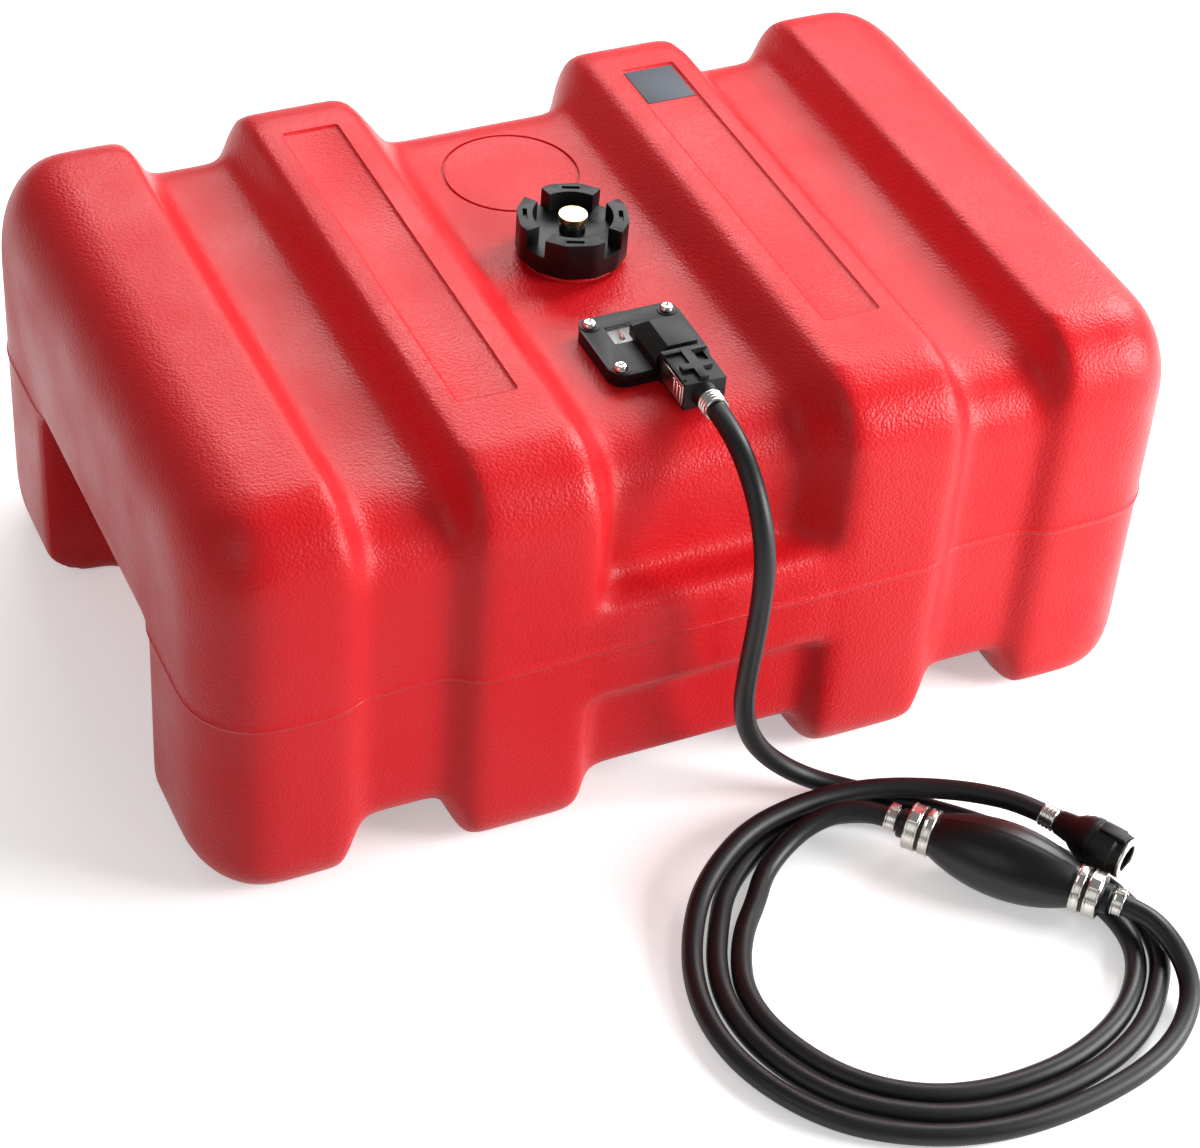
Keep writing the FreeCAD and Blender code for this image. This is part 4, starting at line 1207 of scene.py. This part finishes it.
@dataclass
class TankConnector(Fitting):
    """The line's connector on the tank, its latch and its collar."""

    body: Box = ((-5.0, -157.0, 253.0), (21.0, -125.0, 271.0))
    flange: Box = ((-5.8, -129.0, 252.6), (21.8, -125.2, 272.6))
    ridge: Box = ((5.2, -155.0, 262.0), (10.8, -127.0, 273.2))
    bar: Box = ((-1.5, -146.0, 262.0), (17.5, -141.0, 273.2))
    # What is cut out: the latch's seat and the release window
    seat: Box = ((-9.0, -155.5, 254.0), (-3.8, -130.0, 270.0))
    relief: Box = ((12.8, -139.0, 268.6), (18.6, -130.5, 280.0))
    # The tapered tail that the hose leaves: where, base and end radius, length
    tail_foot: Point = (8.0, -156.5, 262.0)
    tail_radii: Pair = (8.6, 6.6)
    tail_length: float = 7.0
    latch: Box = ((-5.6, -155.0, 255.0), (-4.0, -126.0, 269.0))
    # The first of the latch's ribs, how many there are and their spacing
    rib: Box = ((-6.3, -153.4, 256.5), (-4.4, -151.6, 267.5))
    ribs: int = 3
    rib_pitch: float = 4.0
    collar: Axis = Axis((8.0, -163.0, 262.0), -90.0)
    edge_round: float = 0.9
    latch_round: float = 0.4

    def build(self) -> None:
        """Makes the connector, the latch and the collar."""
        body = Kit.block("tank_plug", *self.body)
        added = [Kit.block(name, *box) for name, box in (
            ("flange", self.flange), ("ridge", self.ridge), ("bar", self.bar))]
        base, end = self.tail_radii
        added.append(Kit.drum("tail", self.tail_foot, base, self.tail_length, top=end,
                              axis=(0, -1, 0)))
        Kit.combine(body, added, Merge.ADD)
        Kit.combine(body, [Kit.block("seat", *self.seat), Kit.block("relief", *self.relief)])
        self.done(Kit.bevel(body, self.edge_round, 3), Body.TANK, Slot.BLACK, "tank_connector")
        latch = Kit.block("latch_spring", *self.latch)
        ribs = [Kit.block("rib", *((x, y + self.rib_pitch * count, z) for x, y, z in self.rib))
                for count in range(self.ribs)]
        Kit.combine(latch, ribs, Merge.ADD)
        self.done(Kit.bevel(latch, self.latch_round), Body.LATCH, Slot.STEEL, "connector_latch")
        CrimpedCollar(self.materials, "line_collar", self.collar, "tank_ferrule").build()


@dataclass(frozen=True)
class ClampBand:
    """A clamp band with rolled edges and its closing ear.

    Attributes:
        along: distance of the band's middle from the bulb's.
        width: its width.
        inner: inside radius.
        outer: outside radius.
        roll: where the ear stands, in degrees from the top.
    """

    along: float
    width: float
    inner: float
    outer: float
    roll: float

    def parts(self, axis: Axis, side: int) -> list[bpy.types.Object]:
        """Makes the band.

        Args:
            axis: the bulb's axis.
            side: -1 for the inlet's end, 1 for the outlet's.

        Returns:
            The ring and the ear.
        """
        half, middle = self.width / 2, side * self.along
        # From the band's rim inwards: the rolled edge stands proud of the strip
        edge = [(half, self.inner), (half, self.outer), (half - 0.4, self.outer + 0.3),
                (half - 1.1, self.outer + 0.3), (half - 1.5, self.outer - 0.1)]
        outline = [(middle - reach, radius) for reach, radius in edge]
        outline += [(middle + reach, radius) for reach, radius in reversed(edge)]
        ring = Kit.lathe("ring", outline, axis)
        ear = Kit.block("ear", (middle - half + 0.8, -3.4, self.outer - 0.6),
                        (middle + half - 0.8, 3.4, self.outer + 1.9))
        return [ring, Kit.place(Kit.bevel(ear, 0.7, 3), axis, self.roll)]


@dataclass
class PrimerBulb(Fitting):
    """The primer bulb with its barbs, bands and clamps."""

    axis: Axis = BULB_AXIS
    # Half the belly's length, half the bulb's, and radii
    half: float = 44.0
    end: float = 61.0
    belly: float = 23.0
    collar: float = 13.2
    bore: float = 9.8
    belly_steps: int = 16
    # How far the mould line reaches from the middle, and how far it stands out
    line_half: float = 43.0
    line_lift: float = 0.35
    # Outline of a barb, along and out from the bulb's middle
    barb: tuple[Pair, ...] = ((46.0, 4.0), (46.0, 9.8), (61.0, 9.8), (61.6, 9.2), (65.4, 9.2),
                              (66.0, 8.6), (66.0, 4.0))
    bands: tuple[ClampBand, ...] = (ClampBand(47.1, 5.8, 13.2, 14.2, 0.0),
                                    ClampBand(56.5, 8.0, 13.2, 14.2, 24.0))
    clamp: ClampBand = ClampBand(71.0, 7.0, 6.4, 7.6, -20.0)

    def raise_line(self, bulb: bpy.types.Object, side: int) -> None:
        """Raises the mould line along one side of the bulb.

        Args:
            bulb: the bulb.
            side: 1 for the upper line, -1 for the lower one.
        """
        origin = Vector(self.axis.origin)
        axis = Vector(self.axis.at(1)) - origin
        across = Vector((-axis.y, axis.x, 0))

        def on_line(corner: Vector) -> bool:
            """Tells whether a corner lies on the line."""
            offset = corner - origin
            return (abs(offset.dot(axis)) < self.line_half and abs(offset.dot(across)) < 0.3
                    and side * offset.z > 12)

        Kit.pick(bulb, Part.CORNERS, on_line)
        bpy.ops.transform.translate(value=(0, 0, mm(self.line_lift * side)))
        Kit.leave()

    def belly_curve(self) -> list[Pair]:
        """Gives the arc from collar to belly to collar.

        Returns:
            Points along the axis with their radius.
        """
        rise = self.belly - self.collar
        swing = (self.half ** 2 + rise ** 2) / (2 * rise)
        places = [self.half * step / self.belly_steps
                  for step in range(-self.belly_steps, self.belly_steps + 1)]
        return [(place, self.belly - swing + math.sqrt(swing ** 2 - place ** 2))
                for place in places]

    def build(self) -> None:
        """Makes the bulb and what clamps it to both hoses."""
        neck = [(self.end, self.bore), (self.end, self.collar - 0.6),
                (self.end - 0.6, self.collar), (self.half + 1, self.collar)]
        outline = [(-along, radius) for along, radius in neck] + self.belly_curve()
        bulb = Kit.lathe("squeeze_bulb", outline + neck[::-1], self.axis, 96)
        for side in (1, -1):
            self.raise_line(bulb, side)
        self.done(bulb, Body.TANK, Slot.BULB, "primer_bulb")
        for side, word in ((-1, "inlet"), (1, "outlet")):
            profile = [(side * along, radius) for along, radius in self.barb]
            barb = Kit.lathe(word + "_barb", profile, self.axis, 48)
            self.done(barb, Body.TANK, Slot.BLACK, word + "_fitting")
            pair = [part for band in self.bands for part in band.parts(self.axis, side)]
            self.done(Kit.join(word + "_band_pair", pair), Body.TANK, Slot.STEEL, word + "_bands")
            ring = Kit.join(word + "_ear_clamp", self.clamp.parts(self.axis, side))
            self.done(ring, Body.TANK, Slot.STEEL, word + "_clamp")


@dataclass
class EngineConnector(Fitting):
    """The engine connector, its face ring and its collar."""

    axis: Axis = ENGINE_AXIS
    # Outlines along the axis and out from it
    outline: tuple[Pair, ...] = (
        (-8, 2.4), (-8, 7.2), (-7.4, 7.6), (2, 9), (6, 11.8), (9, 12.8), (10, 13.6), (13, 13.9),
        (14, 14.5), (17, 14.5), (17.4, 13.9), (18.6, 13.9), (19, 14.5), (31.4, 14.5),
        (32, 13.9), (33, 13.1), (37.4, 13.1), (38, 12.5), (38, 8), (22, 8), (22, 2.4))
    face: tuple[Pair, ...] = ((38, 8.3), (38, 12.9), (38.8, 12.9), (39.4, 12.4), (39.4, 8.8),
                              (38.9, 8.3))
    key: Box = ((19.6, -4.0, 13.2), (37.0, 4.0, 15.6))
    key_round: float = 0.8
    collar_start: float = -19.0

    def build(self) -> None:
        """Makes the connector, the ring and the collar."""
        plug = Kit.lathe("engine_plug", self.outline, self.axis, 72)
        key = Kit.place(Kit.bevel(Kit.block("key", *self.key), self.key_round, 3), self.axis)
        self.done(Kit.join("engine_plug", [plug, key]), Body.TANK, Slot.BLACK,
                  "engine_connector")
        face = Kit.lathe("plug_face", self.face, self.axis, 72)
        self.done(face, Body.TANK, Slot.STEEL, "engine_face")
        start = Axis(self.axis.at(self.collar_start), self.axis.turn)
        CrimpedCollar(self.materials, "engine_collar", start, "engine_ferrule").build()


@dataclass
class BarePlate(Fitting):
    """The bare plate in the right label field."""

    plate: Box = ((99.0, 116.0, 271.9), (132.0, 154.0, 272.5))
    edge_round: float = 0.25
    # Lacquered foil: slate grey and flat, a dull patch beside the satin red
    foil: Finish = Finish("4A4F58", 0.55, specular=0.3)

    def build(self) -> None:
        """Lays the plate."""
        plate = Kit.bevel(Kit.block("bare_plate", *self.plate), self.edge_round)
        Kit.finish(plate, self.materials.build("plate_foil", self.foil), Body.TANK, Slot.BLACK)


@dataclass
class FrameDresser:
    """Gives the frame's own nodes their materials."""

    materials: MaterialLibrary

    def build(self) -> None:
        """Sets each shown node's material from the record."""
        for row in frame["record"]["subparts"]:
            node = frame["nodes"][row["node"]]
            slot = Slot(row["material_slot"])
            node.data.materials.clear()
            node.data.materials.append(self.materials.get(slot))
        log.info("frame dressed")


def main() -> None:
    """Builds the scene."""
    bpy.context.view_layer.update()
    materials = MaterialLibrary()
    FrameDresser(materials).build()
    Studio().build()
    for assembly in (TankMoulding, FillerCap, OutletHead, TankConnector, PrimerBulb,
                     EngineConnector, BarePlate, FuelLine):
        assembly(materials).build()
        log.info("%s ready", assembly.__name__)


if __name__ == "__main__":
    main()
